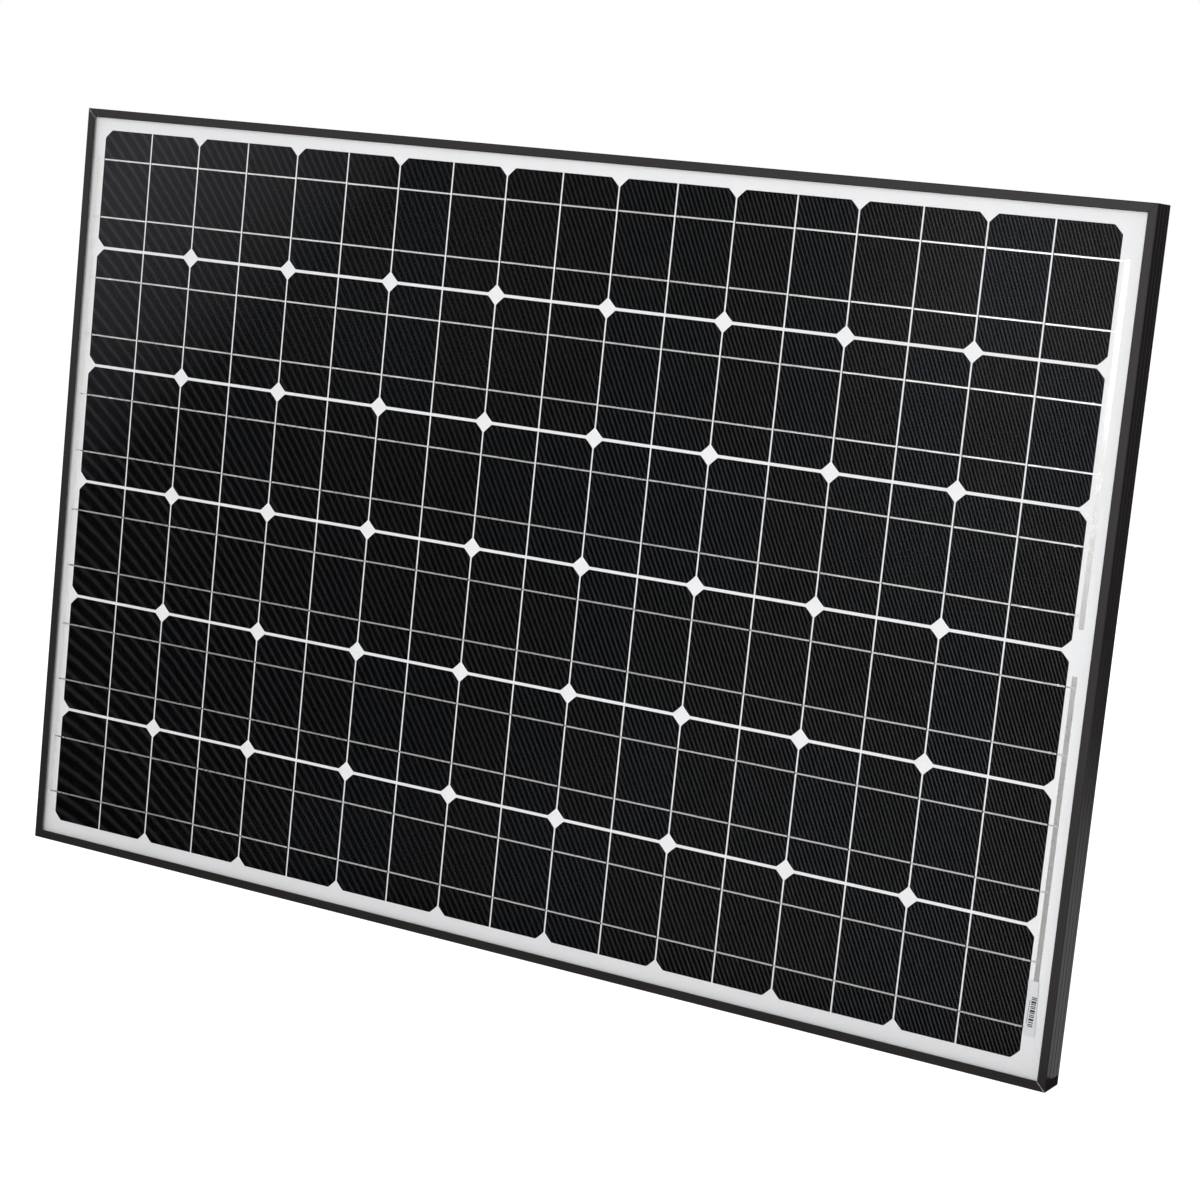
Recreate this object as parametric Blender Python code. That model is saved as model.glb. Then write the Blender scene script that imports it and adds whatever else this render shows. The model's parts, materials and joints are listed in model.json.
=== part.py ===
"""A framed photovoltaic panel of half-cut monocrystalline cells, standing on its long bottom edge.

Metres, +Z up. X runs along the long edges and Y through the thickness, with the glass facing -Y. The
origin is under the middle of the bottom frame rail. Every named object is one closed solid.
"""

import math

import bmesh
import bpy
from mathutils import Matrix, Vector

# ---------------------------------------------------------------- driving dimensions
PANEL_WIDTH = 1.200
PANEL_HEIGHT = 0.808
PANEL_DEPTH = 0.035

FIT_GAP = 0.0003        # between pieces that rest on each other
LAYER_GAP = 0.00005     # between the thin flat layers of the laminate

# Frame extrusion: a lip over the glass, a slot for the laminate, a hollow chamber and a rear flange.
LIP_WIDTH = 0.0088
LIP_THICKNESS = 0.0015
WALL = 0.0016
CHAMBER_WIDTH = 0.011
FLANGE_WIDTH = 0.028
FLANGE_THICKNESS = 0.0018
EDGE_CHAMFER = 0.0007
GROOVE_WIDTH = 0.0014
GROOVE_DEPTH = 0.0005
GROOVE_PLACES = (-0.0085, 0.0005, 0.0095)
MITRE_GAP = 0.00015
KEY_ARM = 0.045

# Holes in the rear flange.
MOUNT_SLOT_PLACES = (-0.450, -0.300, 0.300, 0.450)
MOUNT_SLOT_LENGTH = 0.014
MOUNT_SLOT_WIDTH = 0.009
GROUND_HOLE_PLACES = (-0.520, 0.520)
GROUND_HOLE_RADIUS = 0.0025
DRAIN_SLOT_PLACES = (-0.320, 0.320)
DRAIN_SLOT_LENGTH = 0.010
DRAIN_SLOT_WIDTH = 0.004

# Cells: pseudo-square wafers cut in half, eighteen halves to a string and six strings.
WAFER_SIZE = 0.125
WAFER_RADIUS = 0.0825
HALF_CELL = WAFER_SIZE / 2
CELL_GAP = 0.00135
ROW_GAP = 0.0027
HALVES_PER_STRING = 18
STRING_COUNT = 6
MATRIX_X = -0.0043      # the cells sit a little left of the middle, away from the output leads
MATRIX_RISE = 0.0009    # and a little above it
BUSBAR_OFFSET = 0.031
TAB_WIDTH = 0.0015
BUS_WIDTH = 0.005
BUS_OFFSET = 0.0045     # from the last cell to the near edge of the bus ribbon
BUS_OVERRUN = 0.0015
LEAD_OFFSET = 0.024     # of the two output leads above and below mid-height
LEAD_X = 0.545

# Laminate layers, front to back.
SEAL_LEG = 0.0005
GLASS_THICKNESS = 0.0032
LABEL_THICKNESS = 0.0001
ENCAPSULANT_THICKNESS = 0.00045
TAB_PROUD = 0.00015
TAB_SUNK = 0.0001
CELL_THICKNESS = 0.0002
BUS_THICKNESS = 0.00025
INSULATION_THICKNESS = 0.0001
INSULATION_MARGIN = 0.0035      # past each edge of the ribbons it covers
BACKSHEET_THICKNESS = 0.00035
LAMINATE_INSET = 0.0032
SHEET_INSET = 0.0036
SEAL_INSET = 0.0019
WINDOW_SIZE = (0.008, 0.060)
SERIAL_LABEL_SIZE = (0.010, 0.052)
SERIAL_LABEL_TILT = math.radians(-2.5)
SERIAL_LABEL_SHIFT = 0.0015     # of its middle from the bus ribbon's inner edge
SERIAL_LABEL_DROP = 0.331       # of its middle below mid-height
RATING_LABEL_SIZE = (0.100, 0.070)
RATING_LABEL_GAP = 0.060        # between it and the junction box

# Junction box, on the back near the right-hand edge.
BOX_LEFT = 0.474
BOX_RIGHT = 0.562
BOX_HALF_HEIGHT = 0.055
BOX_CORNER = 0.008
BOX_WALL = 0.0025
BOX_FLOOR = 0.002
BOX_RIM_Y = 0.0095
ADHESIVE_THICKNESS = 0.00095
ADHESIVE_WIDTH = 0.006
GASKET_THICKNESS = 0.0007
GASKET_WIDTH = 0.0016
LID_Y = 0.0106
LID_THICKNESS = 0.002
TONGUE_GAP = 0.0005
TONGUE_THICKNESS = 0.0015
TONGUE_DEPTH = 0.003
HINGE_OFFSET = 0.0036   # of the hinge axis above the box's top wall
HINGE_Y = 0.010
KNUCKLE_RADIUS = 0.0026
PIN_RADIUS = 0.00125
PIN_CLEARANCE = 0.00035
LUG_WIDTH = 0.010
LUG_SPREAD = 0.030      # of each lug from the middle of the box
BARREL_LENGTH = 0.0475
CLIP_SPREAD = 0.022
CLIP_WIDTH = 0.010
CLIP_THICKNESS = 0.0015
CLIP_REACH = 0.0075
CLIP_GAP = 0.0008

# Cable glands on the box's left wall.
GLAND_OFFSET = 0.027
GLAND_Y = 0.0005
GLAND_BORE = 0.0043
GLAND_STEM = 0.0060
GLAND_HEX = 0.0085
GLAND_HEX_THICKNESS = 0.0032
GLAND_STEM_LENGTH = 0.0125
SEAL_RADIUS = 0.0039
SEAL_BORE = 0.0031
SEAL_LENGTH = 0.0095
NUT_RADIUS = 0.00866
NUT_BORE = 0.0064
NUT_MOUTH = 0.0036
NUT_END = 0.0022

# Terminals, spring clips, screws and diodes inside the box.
TERMINAL_OFFSETS = {"positive": LEAD_OFFSET, "centre": 0.0, "negative": -LEAD_OFFSET}
TERMINAL_WIDTH = 0.008
TERMINAL_THICKNESS = 0.001
TERMINAL_LEFT = 0.492
TERMINAL_Y = -0.004
TERMINAL_RISE = 0.005
POST_PLACES = (0.508, 0.530)
POST_SIZE = 0.006
SCREW_X = 0.499
SCREW_RADIUS = 0.0015
SCREW_HEAD_RADIUS = 0.0030
SCREW_HEAD_HEIGHT = 0.0018
SCREW_LENGTH = 0.0050
DIODE_X = 0.519
DIODE_RADIUS = 0.0035
DIODE_LENGTH = 0.009
DIODE_LEAD_RADIUS = 0.0006
DIODE_LEAD_REACH = 0.0115
SPRING_THICKNESS = 0.0006
SPRING_WIDTH = 0.007

ROUND = 24              # sides of a small turned piece
CORNER_STEPS = 6        # straight runs in a quarter-round corner

# ---------------------------------------------------------------- derived places
MIDDLE_Z = PANEL_HEIGHT / 2
FRONT_Y = -PANEL_DEPTH / 2
REAR_Y = PANEL_DEPTH / 2
SEAL_FRONT_Y = FRONT_Y + LIP_THICKNESS + LAYER_GAP
GLASS_Y = SEAL_FRONT_Y + SEAL_LEG + LAYER_GAP
SERIAL_LABEL_Y = GLASS_Y + GLASS_THICKNESS + LAYER_GAP
FRONT_SHEET_Y = SERIAL_LABEL_Y + LABEL_THICKNESS + LAYER_GAP
TAB_Y = FRONT_SHEET_Y + ENCAPSULANT_THICKNESS + LAYER_GAP
CELL_Y = TAB_Y + TAB_PROUD
BUS_Y = CELL_Y + TAB_SUNK + LAYER_GAP
INSULATION_Y = CELL_Y + CELL_THICKNESS + LAYER_GAP
TAP_Y = BUS_Y + BUS_THICKNESS + LAYER_GAP
REAR_SHEET_Y = TAP_Y + BUS_THICKNESS + LAYER_GAP
BACKSHEET_Y = REAR_SHEET_Y + ENCAPSULANT_THICKNESS + LAYER_GAP
BACKSHEET_REAR_Y = BACKSHEET_Y + BACKSHEET_THICKNESS
SEAL_REAR_Y = BACKSHEET_REAR_Y + LAYER_GAP + SEAL_LEG
LEDGE_Y = SEAL_REAR_Y + LAYER_GAP
CHAMBER_FRONT_Y = LEDGE_Y + LIP_THICKNESS
CHAMBER_REAR_Y = REAR_Y - FLANGE_THICKNESS
SLOT_INSET = (CHAMBER_WIDTH + FLANGE_WIDTH) / 2

MATRIX_WIDTH = HALVES_PER_STRING * HALF_CELL + (HALVES_PER_STRING - 1) * CELL_GAP
ROW_PITCH = WAFER_SIZE + ROW_GAP
CORNER_CUT = WAFER_SIZE / 2 - math.sqrt(WAFER_RADIUS**2 - (WAFER_SIZE / 2) ** 2)
MATRIX_LEFT = MATRIX_X - MATRIX_WIDTH / 2
MATRIX_RIGHT = MATRIX_X + MATRIX_WIDTH / 2
LEFT_BUS = (MATRIX_LEFT - BUS_OFFSET - BUS_WIDTH, MATRIX_LEFT - BUS_OFFSET)
RIGHT_BUS = (MATRIX_RIGHT + BUS_OFFSET, MATRIX_RIGHT + BUS_OFFSET + BUS_WIDTH)

BOX_FLOOR_Y = BACKSHEET_REAR_Y + 2 * LAYER_GAP + ADHESIVE_THICKNESS
CAVITY_Y = BOX_FLOOR_Y + BOX_FLOOR
BOX_MIDDLE_X = (BOX_LEFT + BOX_RIGHT) / 2
HINGE_Z = MIDDLE_Z + BOX_HALF_HEIGHT + HINGE_OFFSET
LEAD_TOP_Y = TERMINAL_Y + TERMINAL_THICKNESS + TERMINAL_RISE

MATERIALS = {
    "anodised_black": ((0.020, 0.019, 0.020), 0.38, 0.9),
    "raw_aluminium": ((0.60, 0.61, 0.63), 0.40, 1.0),
    "silicone": ((0.030, 0.030, 0.032), 0.55, 0.0),
    "tempered_glass": ((0.90, 0.95, 0.93), 0.05, 0.0),
    "encapsulant": ((0.92, 0.93, 0.92), 0.20, 0.0),
    "silicon_cell": ((0.012, 0.013, 0.018), 0.25, 0.0),
    "tinned_copper": ((0.70, 0.70, 0.70), 0.30, 1.0),
    "white_film": ((0.86, 0.86, 0.88), 0.50, 0.0),
    "label_paper": ((0.72, 0.72, 0.76), 0.50, 0.0),
    "black_plastic": ((0.022, 0.022, 0.024), 0.45, 0.0),
    "black_rubber": ((0.030, 0.030, 0.030), 0.75, 0.0),
    "steel": ((0.55, 0.55, 0.56), 0.35, 1.0),
    "diode_body": ((0.040, 0.040, 0.045), 0.40, 0.0),
}


# ---------------------------------------------------------------- modelling helpers
def clear_scene():
    for obj in list(bpy.data.objects):
        bpy.data.objects.remove(obj, do_unlink=True)


def material(slot):
    found = bpy.data.materials.get(slot)
    if found:
        return found
    colour, roughness, metallic = MATERIALS[slot]
    made = bpy.data.materials.new(slot)
    made.use_nodes = True
    shader = made.node_tree.nodes["Principled BSDF"]
    shader.inputs["Base Color"].default_value = (*colour, 1.0)
    shader.inputs["Roughness"].default_value = roughness
    shader.inputs["Metallic"].default_value = metallic
    return made


def add_object(name, mesh_data, slot):
    """Turns a bmesh into a named object with its faces pointing out."""
    bmesh.ops.recalc_face_normals(mesh_data, faces=mesh_data.faces)
    mesh = bpy.data.meshes.new(name)
    mesh_data.to_mesh(mesh)
    mesh_data.free()
    obj = bpy.data.objects.new(name, mesh)
    bpy.context.scene.collection.objects.link(obj)
    if slot:
        mesh.materials.append(material(slot))
    return obj


def set_origin(obj, point):
    """Moves an object's origin to a point on its joint axis; its shape stays where it is."""
    obj.data.transform(Matrix.Translation(-Vector(point)))
    obj.location = point


def shade_round(obj, angle=math.radians(40)):
    obj.data.shade_smooth()
    obj.data.set_sharp_from_angle(angle=angle)


def along(axis, first, second, distance):
    """A point from two coordinates across an axis and one along it, in X, Y, Z order."""
    return {
        "X": Vector((distance, first, second)),
        "Y": Vector((first, distance, second)),
        "Z": Vector((first, second, distance)),
    }[axis]


def add_prism(mesh_data, outlines, axis, start, end):
    """Extrudes an outline, and any holes after it, along an axis. Both ends are filled."""
    ends = ([], [])
    for outline in outlines:
        rings = [
            [mesh_data.verts.new(along(axis, *point, place)) for point in outline]
            for place in (start, end)
        ]
        count = len(outline)
        for i in range(count):
            j = (i + 1) % count
            mesh_data.faces.new((rings[0][i], rings[0][j], rings[1][j], rings[1][i]))
        for side, ring in zip(ends, rings):
            side.extend(
                mesh_data.edges.get((ring[i], ring[(i + 1) % count])) for i in range(count)
            )
    for side in ends:
        bmesh.ops.triangle_fill(mesh_data, edges=side, use_beauty=True)


def prism(name, outlines, axis, start, end, slot):
    mesh_data = bmesh.new()
    add_prism(mesh_data, outlines, axis, start, end)
    return add_object(name, mesh_data, slot)


def rectangle(low, high):
    return [(low[0], low[1]), (high[0], low[1]), (high[0], high[1]), (low[0], high[1])]


def block(name, low, high, slot):
    return prism(name, [rectangle(low[::2], high[::2])], "Y", low[1], high[1], slot)


def circle(centre, radius, sides=ROUND, turn=0.5):
    """A regular polygon whose corners lie on the radius."""
    return [
        (
            centre[0] + radius * math.cos(2 * math.pi * (i + turn) / sides),
            centre[1] + radius * math.sin(2 * math.pi * (i + turn) / sides),
        )
        for i in range(sides)
    ]


def rounded_rectangle(low, high, radius, steps=CORNER_STEPS):
    corners = (
        (high[0] - radius, high[1] - radius, 0.0),
        (low[0] + radius, high[1] - radius, 0.5),
        (low[0] + radius, low[1] + radius, 1.0),
        (high[0] - radius, low[1] + radius, 1.5),
    )
    return [
        (
            x + radius * math.cos(math.pi * (turn + 0.5 * i / steps)),
            z + radius * math.sin(math.pi * (turn + 0.5 * i / steps)),
        )
        for x, z, turn in corners
        for i in range(steps + 1)
    ]


def slot_outline(centre, length, width, steps=4):
    """A slot with round ends, running along the first coordinate."""
    radius = width / 2
    points = []
    for side in (1, -1):
        for i in range(steps + 1):
            angle = math.pi * (i / steps - 0.5)
            points.append(
                (
                    centre[0] + side * (length / 2 - radius + radius * math.cos(angle)),
                    centre[1] + side * radius * math.sin(angle),
                )
            )
    return points


def hidden_tool(obj):
    obj.hide_render = True
    obj.display_type = "WIRE"
    return obj


def combine(target, tool, operation):
    modifier = target.modifiers.new(operation.title(), "BOOLEAN")
    modifier.operation = operation
    modifier.solver = "EXACT"
    modifier.object = hidden_tool(tool)
    return target


# ---------------------------------------------------------------- frame
def rail_section():
    """The extrusion's outline and its chamber, as (distance in from the outer face, Y)."""
    cut = EDGE_CHAMFER
    outline = [
        (cut, FRONT_Y),
        (LIP_WIDTH - cut, FRONT_Y),
        (LIP_WIDTH, FRONT_Y + cut),
        (LIP_WIDTH, FRONT_Y + LIP_THICKNESS),
        (WALL, FRONT_Y + LIP_THICKNESS),
        (WALL, LEDGE_Y),
        (CHAMBER_WIDTH, LEDGE_Y),
        (CHAMBER_WIDTH, CHAMBER_REAR_Y),
        (FLANGE_WIDTH, CHAMBER_REAR_Y),
        (FLANGE_WIDTH, REAR_Y),
        (cut, REAR_Y),
        (0.0, REAR_Y - cut),
    ]
    for place in reversed(GROOVE_PLACES):
        outline.append((0.0, place + GROOVE_WIDTH / 2))
        outline.append((GROOVE_DEPTH, place))
        outline.append((0.0, place - GROOVE_WIDTH / 2))
    outline.append((0.0, FRONT_Y + cut))
    chamber = rectangle((WALL, CHAMBER_FRONT_Y), (CHAMBER_WIDTH - WALL, CHAMBER_REAR_Y))
    return outline, chamber


def mitred_rail(name, place):
    """Sweeps the section along one side of the frame. place(inset, y, end) gives the point."""
    mesh_data = bmesh.new()
    caps = ([], [])
    for loop in rail_section():
        rings = [
            [mesh_data.verts.new(place(inset, y, end)) for inset, y in loop] for end in (-1, 1)
        ]
        count = len(loop)
        for i in range(count):
            j = (i + 1) % count
            mesh_data.faces.new((rings[0][i], rings[0][j], rings[1][j], rings[1][i]))
        for cap, ring in zip(caps, rings):
            cap.extend(
                mesh_data.edges.get((ring[i], ring[(i + 1) % count])) for i in range(count)
            )
    for cap in caps:
        bmesh.ops.triangle_fill(mesh_data, edges=cap, use_beauty=True)
    return add_object(name, mesh_data, "anodised_black")


def long_rail_point(bottom):
    def place(inset, y, end):
        x = end * (PANEL_WIDTH / 2 - inset - MITRE_GAP)
        return Vector((x, y, inset if bottom else PANEL_HEIGHT - inset))

    return place


def short_rail_point(side):
    def place(inset, y, end):
        x = side * (PANEL_WIDTH / 2 - inset)
        return Vector((x, y, MIDDLE_Z + end * (PANEL_HEIGHT / 2 - inset - MITRE_GAP)))

    return place


def flange_cutter(name, outlines):
    """Punches that pass through the rear flange only."""
    mesh_data = bmesh.new()
    for outline in outlines:
        add_prism(
            mesh_data,
            [outline],
            "Y",
            CHAMBER_REAR_Y - FLANGE_THICKNESS,
            REAR_Y + FLANGE_THICKNESS,
        )
    return add_object(name, mesh_data, None)


def make_long_rail(name, bottom):
    rail = mitred_rail(name, long_rail_point(bottom))
    z = SLOT_INSET if bottom else PANEL_HEIGHT - SLOT_INSET
    holes = [
        slot_outline((x, z), MOUNT_SLOT_LENGTH, MOUNT_SLOT_WIDTH) for x in MOUNT_SLOT_PLACES
    ]
    holes += [circle((x, z), GROUND_HOLE_RADIUS, 10) for x in GROUND_HOLE_PLACES]
    return combine(rail, flange_cutter(name + "_punches", holes), "DIFFERENCE")


def make_short_rail(name, side):
    rail = mitred_rail(name, short_rail_point(side))
    x = side * (PANEL_WIDTH / 2 - SLOT_INSET)
    holes = []
    for place in DRAIN_SLOT_PLACES:
        upright = slot_outline((MIDDLE_Z + place, x), DRAIN_SLOT_LENGTH, DRAIN_SLOT_WIDTH, 3)
        holes.append([(across, up) for up, across in upright])
    return combine(rail, flange_cutter(name + "_punches", holes), "DIFFERENCE")


def make_corner_key(name, side, bottom):
    """An L of solid bar that plugs into the chambers of two rails."""
    near = WALL + FIT_GAP
    far = CHAMBER_WIDTH - WALL - FIT_GAP
    elbow = [
        (near, near),
        (KEY_ARM, near),
        (KEY_ARM, far),
        (far, far),
        (far, KEY_ARM),
        (near, KEY_ARM),
    ]
    outline = [
        (side * (PANEL_WIDTH / 2 - x), z if bottom else PANEL_HEIGHT - z) for x, z in elbow
    ]
    low = CHAMBER_FRONT_Y + FIT_GAP
    high = CHAMBER_REAR_Y - FIT_GAP
    return prism(name, [outline], "Y", low, high, "raw_aluminium")


def make_edge_seal():
    """A continuous U of sealant folded round all four edges of the laminate."""
    front_reach = LIP_WIDTH - FIT_GAP
    rear_reach = CHAMBER_WIDTH - FIT_GAP
    section = [
        (SEAL_INSET, SEAL_FRONT_Y),
        (front_reach, SEAL_FRONT_Y),
        (front_reach, SEAL_FRONT_Y + SEAL_LEG),
        (LAMINATE_INSET - LAYER_GAP, SEAL_FRONT_Y + SEAL_LEG),
        (LAMINATE_INSET - LAYER_GAP, SEAL_REAR_Y - SEAL_LEG),
        (rear_reach, SEAL_REAR_Y - SEAL_LEG),
        (rear_reach, SEAL_REAR_Y),
        (SEAL_INSET, SEAL_REAR_Y),
    ]
    mesh_data = bmesh.new()
    rings = []
    for x_side, z_side in ((-1, -1), (1, -1), (1, 1), (-1, 1)):
        rings.append(
            [
                mesh_data.verts.new(
                    (
                        x_side * (PANEL_WIDTH / 2 - inset),
                        y,
                        MIDDLE_Z + z_side * (PANEL_HEIGHT / 2 - inset),
                    )
                )
                for inset, y in section
            ]
        )
    count = len(section)
    for k in range(4):
        ring, following = rings[k], rings[(k + 1) % 4]
        for i in range(count):
            j = (i + 1) % count
            mesh_data.faces.new((ring[i], ring[j], following[j], following[i]))
    return add_object("edge_seal", mesh_data, "silicone")


# ---------------------------------------------------------------- laminate
def sheet_outline(inset):
    return rectangle(
        (-PANEL_WIDTH / 2 + inset, inset), (PANEL_WIDTH / 2 - inset, PANEL_HEIGHT - inset)
    )


def lead_window():
    width, height = WINDOW_SIZE
    return rectangle(
        (LEAD_X - width / 2, MIDDLE_Z - height / 2), (LEAD_X + width / 2, MIDDLE_Z + height / 2)
    )


def make_sheets():
    glass = sheet_outline(LAMINATE_INSET)
    sheet = sheet_outline(SHEET_INSET)
    prism("front_glass", [glass], "Y", GLASS_Y, GLASS_Y + GLASS_THICKNESS, "tempered_glass")
    far = FRONT_SHEET_Y + ENCAPSULANT_THICKNESS
    prism("front_encapsulant", [sheet], "Y", FRONT_SHEET_Y, far, "encapsulant")
    far = REAR_SHEET_Y + ENCAPSULANT_THICKNESS
    windowed = [sheet, lead_window()]
    prism("rear_encapsulant", windowed, "Y", REAR_SHEET_Y, far, "encapsulant")
    prism("backsheet", windowed, "Y", BACKSHEET_Y, BACKSHEET_REAR_Y, "white_film")


def string_middle(row):
    """Height of a string's centre line; row 0 is the top one."""
    return MIDDLE_Z + MATRIX_RISE + ((STRING_COUNT - 1) / 2 - row) * ROW_PITCH


def half_cell_outline(index, middle_z):
    """A half wafer: the wafer's round corners stay on its outer side only, cut straight here."""
    left = MATRIX_LEFT + index * (HALF_CELL + CELL_GAP)
    right = left + HALF_CELL
    outer, inner = (left, right) if index % 2 == 0 else (right, left)
    step = math.copysign(CORNER_CUT, inner - outer)
    low, high = middle_z - WAFER_SIZE / 2, middle_z + WAFER_SIZE / 2
    return [
        (outer, low + CORNER_CUT),
        (outer + step, low),
        (inner, low),
        (inner, high),
        (outer + step, high),
        (outer, high - CORNER_CUT),
    ]


def make_cell_string(row):
    """Eighteen half cells, soldered into one piece by two tab ribbons over their busbars."""
    middle_z = string_middle(row)
    mesh_data = bmesh.new()
    for index in range(HALVES_PER_STRING):
        outline = half_cell_outline(index, middle_z)
        add_prism(mesh_data, [outline], "Y", CELL_Y, CELL_Y + CELL_THICKNESS)
    string = add_object(f"cell_string_{row + 1}", mesh_data, "silicon_cell")
    ribbons = bmesh.new()
    for side in (-1, 1):
        z = middle_z + side * BUSBAR_OFFSET
        low, high = z - TAB_WIDTH / 2, z + TAB_WIDTH / 2
        ribbon = rectangle((LEFT_BUS[0], low), (RIGHT_BUS[1], high))
        add_prism(ribbons, [ribbon], "Y", TAB_Y, CELL_Y + TAB_SUNK)
    tool = add_object(f"tab_ribbons_{row + 1}", ribbons, "tinned_copper")
    return combine(string, tool, "UNION")


def lead_blade(z, start_y):
    """The end of a ribbon, turned back through the window into the junction box."""
    low = (LEAD_X, start_y, z - BUS_WIDTH / 2)
    high = (LEAD_X + BUS_THICKNESS, LEAD_TOP_Y, z + BUS_WIDTH / 2)
    return low, high


def joined_blocks(name, blocks, slot):
    """One solid from overlapping blocks."""
    first, *others = blocks
    body = block(name, *first, slot)
    for number, (low, high) in enumerate(others):
        combine(body, block(f"{name}_part_{number}", low, high, None), "UNION")
    return body


def make_bus_ribbons():
    top_busbar = string_middle(0) + BUSBAR_OFFSET + BUS_OVERRUN
    bottom_busbar = string_middle(STRING_COUNT - 1) - BUSBAR_OFFSET - BUS_OVERRUN
    block(
        "bus_ribbon_left",
        (LEFT_BUS[0], BUS_Y, bottom_busbar),
        (LEFT_BUS[1], BUS_Y + BUS_THICKNESS, top_busbar),
        "tinned_copper",
    )
    for name, side, end in (("upper", 1, top_busbar), ("lower", -1, bottom_busbar)):
        z = MIDDLE_Z + side * LEAD_OFFSET
        near = z - side * BUS_WIDTH / 2
        far = z + side * BUS_WIDTH / 2
        strip = (
            (RIGHT_BUS[0], BUS_Y, min(near, end)),
            (RIGHT_BUS[1], BUS_Y + BUS_THICKNESS, max(near, end)),
        )
        fold = (
            (RIGHT_BUS[0], BUS_Y, min(near, far)),
            (RIGHT_BUS[1], TAP_Y + BUS_THICKNESS, max(near, far)),
        )
        lead = (
            (LEAD_X, TAP_Y, min(near, far)),
            (RIGHT_BUS[1], TAP_Y + BUS_THICKNESS, max(near, far)),
        )
        pieces = [strip, fold, lead, lead_blade(z, TAP_Y)]
        joined_blocks(f"bus_ribbon_right_{name}", pieces, "tinned_copper")
    tap = (
        (LEFT_BUS[0], TAP_Y, MIDDLE_Z - BUS_WIDTH / 2),
        (LEAD_X + BUS_THICKNESS, TAP_Y + BUS_THICKNESS, MIDDLE_Z + BUS_WIDTH / 2),
    )
    pieces = [tap, lead_blade(MIDDLE_Z, TAP_Y)]
    joined_blocks("centre_tap_ribbon", pieces, "tinned_copper")


def make_insulation():
    """A white T-shaped strip that keeps the tap ribbon and the leads off the backs of the cells."""
    narrow = BUS_WIDTH / 2 + INSULATION_MARGIN
    wide = LEAD_OFFSET + narrow
    head = LEAD_X - 2 * narrow
    outline = [
        (MATRIX_LEFT, MIDDLE_Z - narrow),
        (head, MIDDLE_Z - narrow),
        (head, MIDDLE_Z - wide),
        (MATRIX_RIGHT, MIDDLE_Z - wide),
        (MATRIX_RIGHT, MIDDLE_Z + wide),
        (head, MIDDLE_Z + wide),
        (head, MIDDLE_Z + narrow),
        (MATRIX_LEFT, MIDDLE_Z + narrow),
    ]
    far = INSULATION_Y + INSULATION_THICKNESS
    prism("insulation_strip", [outline], "Y", INSULATION_Y, far, "white_film")


def make_labels():
    width, height = SERIAL_LABEL_SIZE
    middle = Vector((RIGHT_BUS[0] + SERIAL_LABEL_SHIFT, 0.0, MIDDLE_Z - SERIAL_LABEL_DROP))
    turn = Matrix.Rotation(SERIAL_LABEL_TILT, 3, "Y")
    corners = [
        middle + turn @ Vector((x, 0.0, z))
        for x, z in rectangle((-width / 2, -height / 2), (width / 2, height / 2))
    ]
    outline = [(point.x, point.z) for point in corners]
    far = SERIAL_LABEL_Y + LABEL_THICKNESS
    prism("serial_label", [outline], "Y", SERIAL_LABEL_Y, far, "label_paper")
    width, height = RATING_LABEL_SIZE
    left = BOX_LEFT - RATING_LABEL_GAP - width
    near = BACKSHEET_REAR_Y + LAYER_GAP
    block(
        "rating_label",
        (left, near, MIDDLE_Z - height / 2),
        (left + width, near + LABEL_THICKNESS, MIDDLE_Z + height / 2),
        "label_paper",
    )


# ---------------------------------------------------------------- junction box
def box_outline(inset):
    low = (BOX_LEFT + inset, MIDDLE_Z - BOX_HALF_HEIGHT + inset)
    high = (BOX_RIGHT - inset, MIDDLE_Z + BOX_HALF_HEIGHT - inset)
    return rounded_rectangle(low, high, BOX_CORNER - inset)


def make_box_adhesive():
    low = BACKSHEET_REAR_Y + LAYER_GAP
    rings = [box_outline(0.0015), box_outline(0.0015 + ADHESIVE_WIDTH)]
    prism("box_adhesive", rings, "Y", low, low + ADHESIVE_THICKNESS, "silicone")


def hinge_lugs():
    """Two round-ended lugs above the box's top wall, bored for the pin."""
    top = MIDDLE_Z + BOX_HALF_HEIGHT
    centre = (HINGE_Y, HINGE_Z)
    bore = PIN_RADIUS + LAYER_GAP
    arc = [
        (
            centre[0] + KNUCKLE_RADIUS * math.cos(math.pi * i / CORNER_STEPS / 2),
            centre[1] + KNUCKLE_RADIUS * math.sin(math.pi * i / CORNER_STEPS / 2),
        )
        for i in range(1 - CORNER_STEPS, 2 * CORNER_STEPS + 1)
    ]
    foot = [
        (HINGE_Y - KNUCKLE_RADIUS, top - BOX_WALL / 2),
        (BOX_RIM_Y, top - BOX_WALL / 2),
        (BOX_RIM_Y, top),
    ]
    mesh_data = bmesh.new()
    for side in (-1, 1):
        x = BOX_MIDDLE_X + side * LUG_SPREAD
        outlines = [arc + foot, circle(centre, bore)]
        add_prism(mesh_data, outlines, "X", x - LUG_WIDTH / 2, x + LUG_WIDTH / 2)
    return add_object("box_lugs", mesh_data, None)


def terminal_posts():
    """Square posts on the floor that carry the terminal rails."""
    mesh_data = bmesh.new()
    half = POST_SIZE / 2
    for offset in TERMINAL_OFFSETS.values():
        for x in POST_PLACES:
            z = MIDDLE_Z + offset
            outline = rectangle((x - half, z - half), (x + half, z + half))
            low = CAVITY_Y - BOX_FLOOR / 2
            add_prism(mesh_data, [outline], "Y", low, TERMINAL_Y - FIT_GAP)
    return add_object("box_posts", mesh_data, None)


def gland_holes():
    mesh_data = bmesh.new()
    for side in (-1, 1):
        centre = (GLAND_Y, MIDDLE_Z + side * GLAND_OFFSET)
        outline = circle(centre, GLAND_STEM + FIT_GAP)
        low, high = BOX_LEFT - BOX_WALL, BOX_LEFT + 2 * BOX_WALL
        add_prism(mesh_data, [outline], "X", low, high)
    return add_object("box_gland_holes", mesh_data, None)


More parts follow.
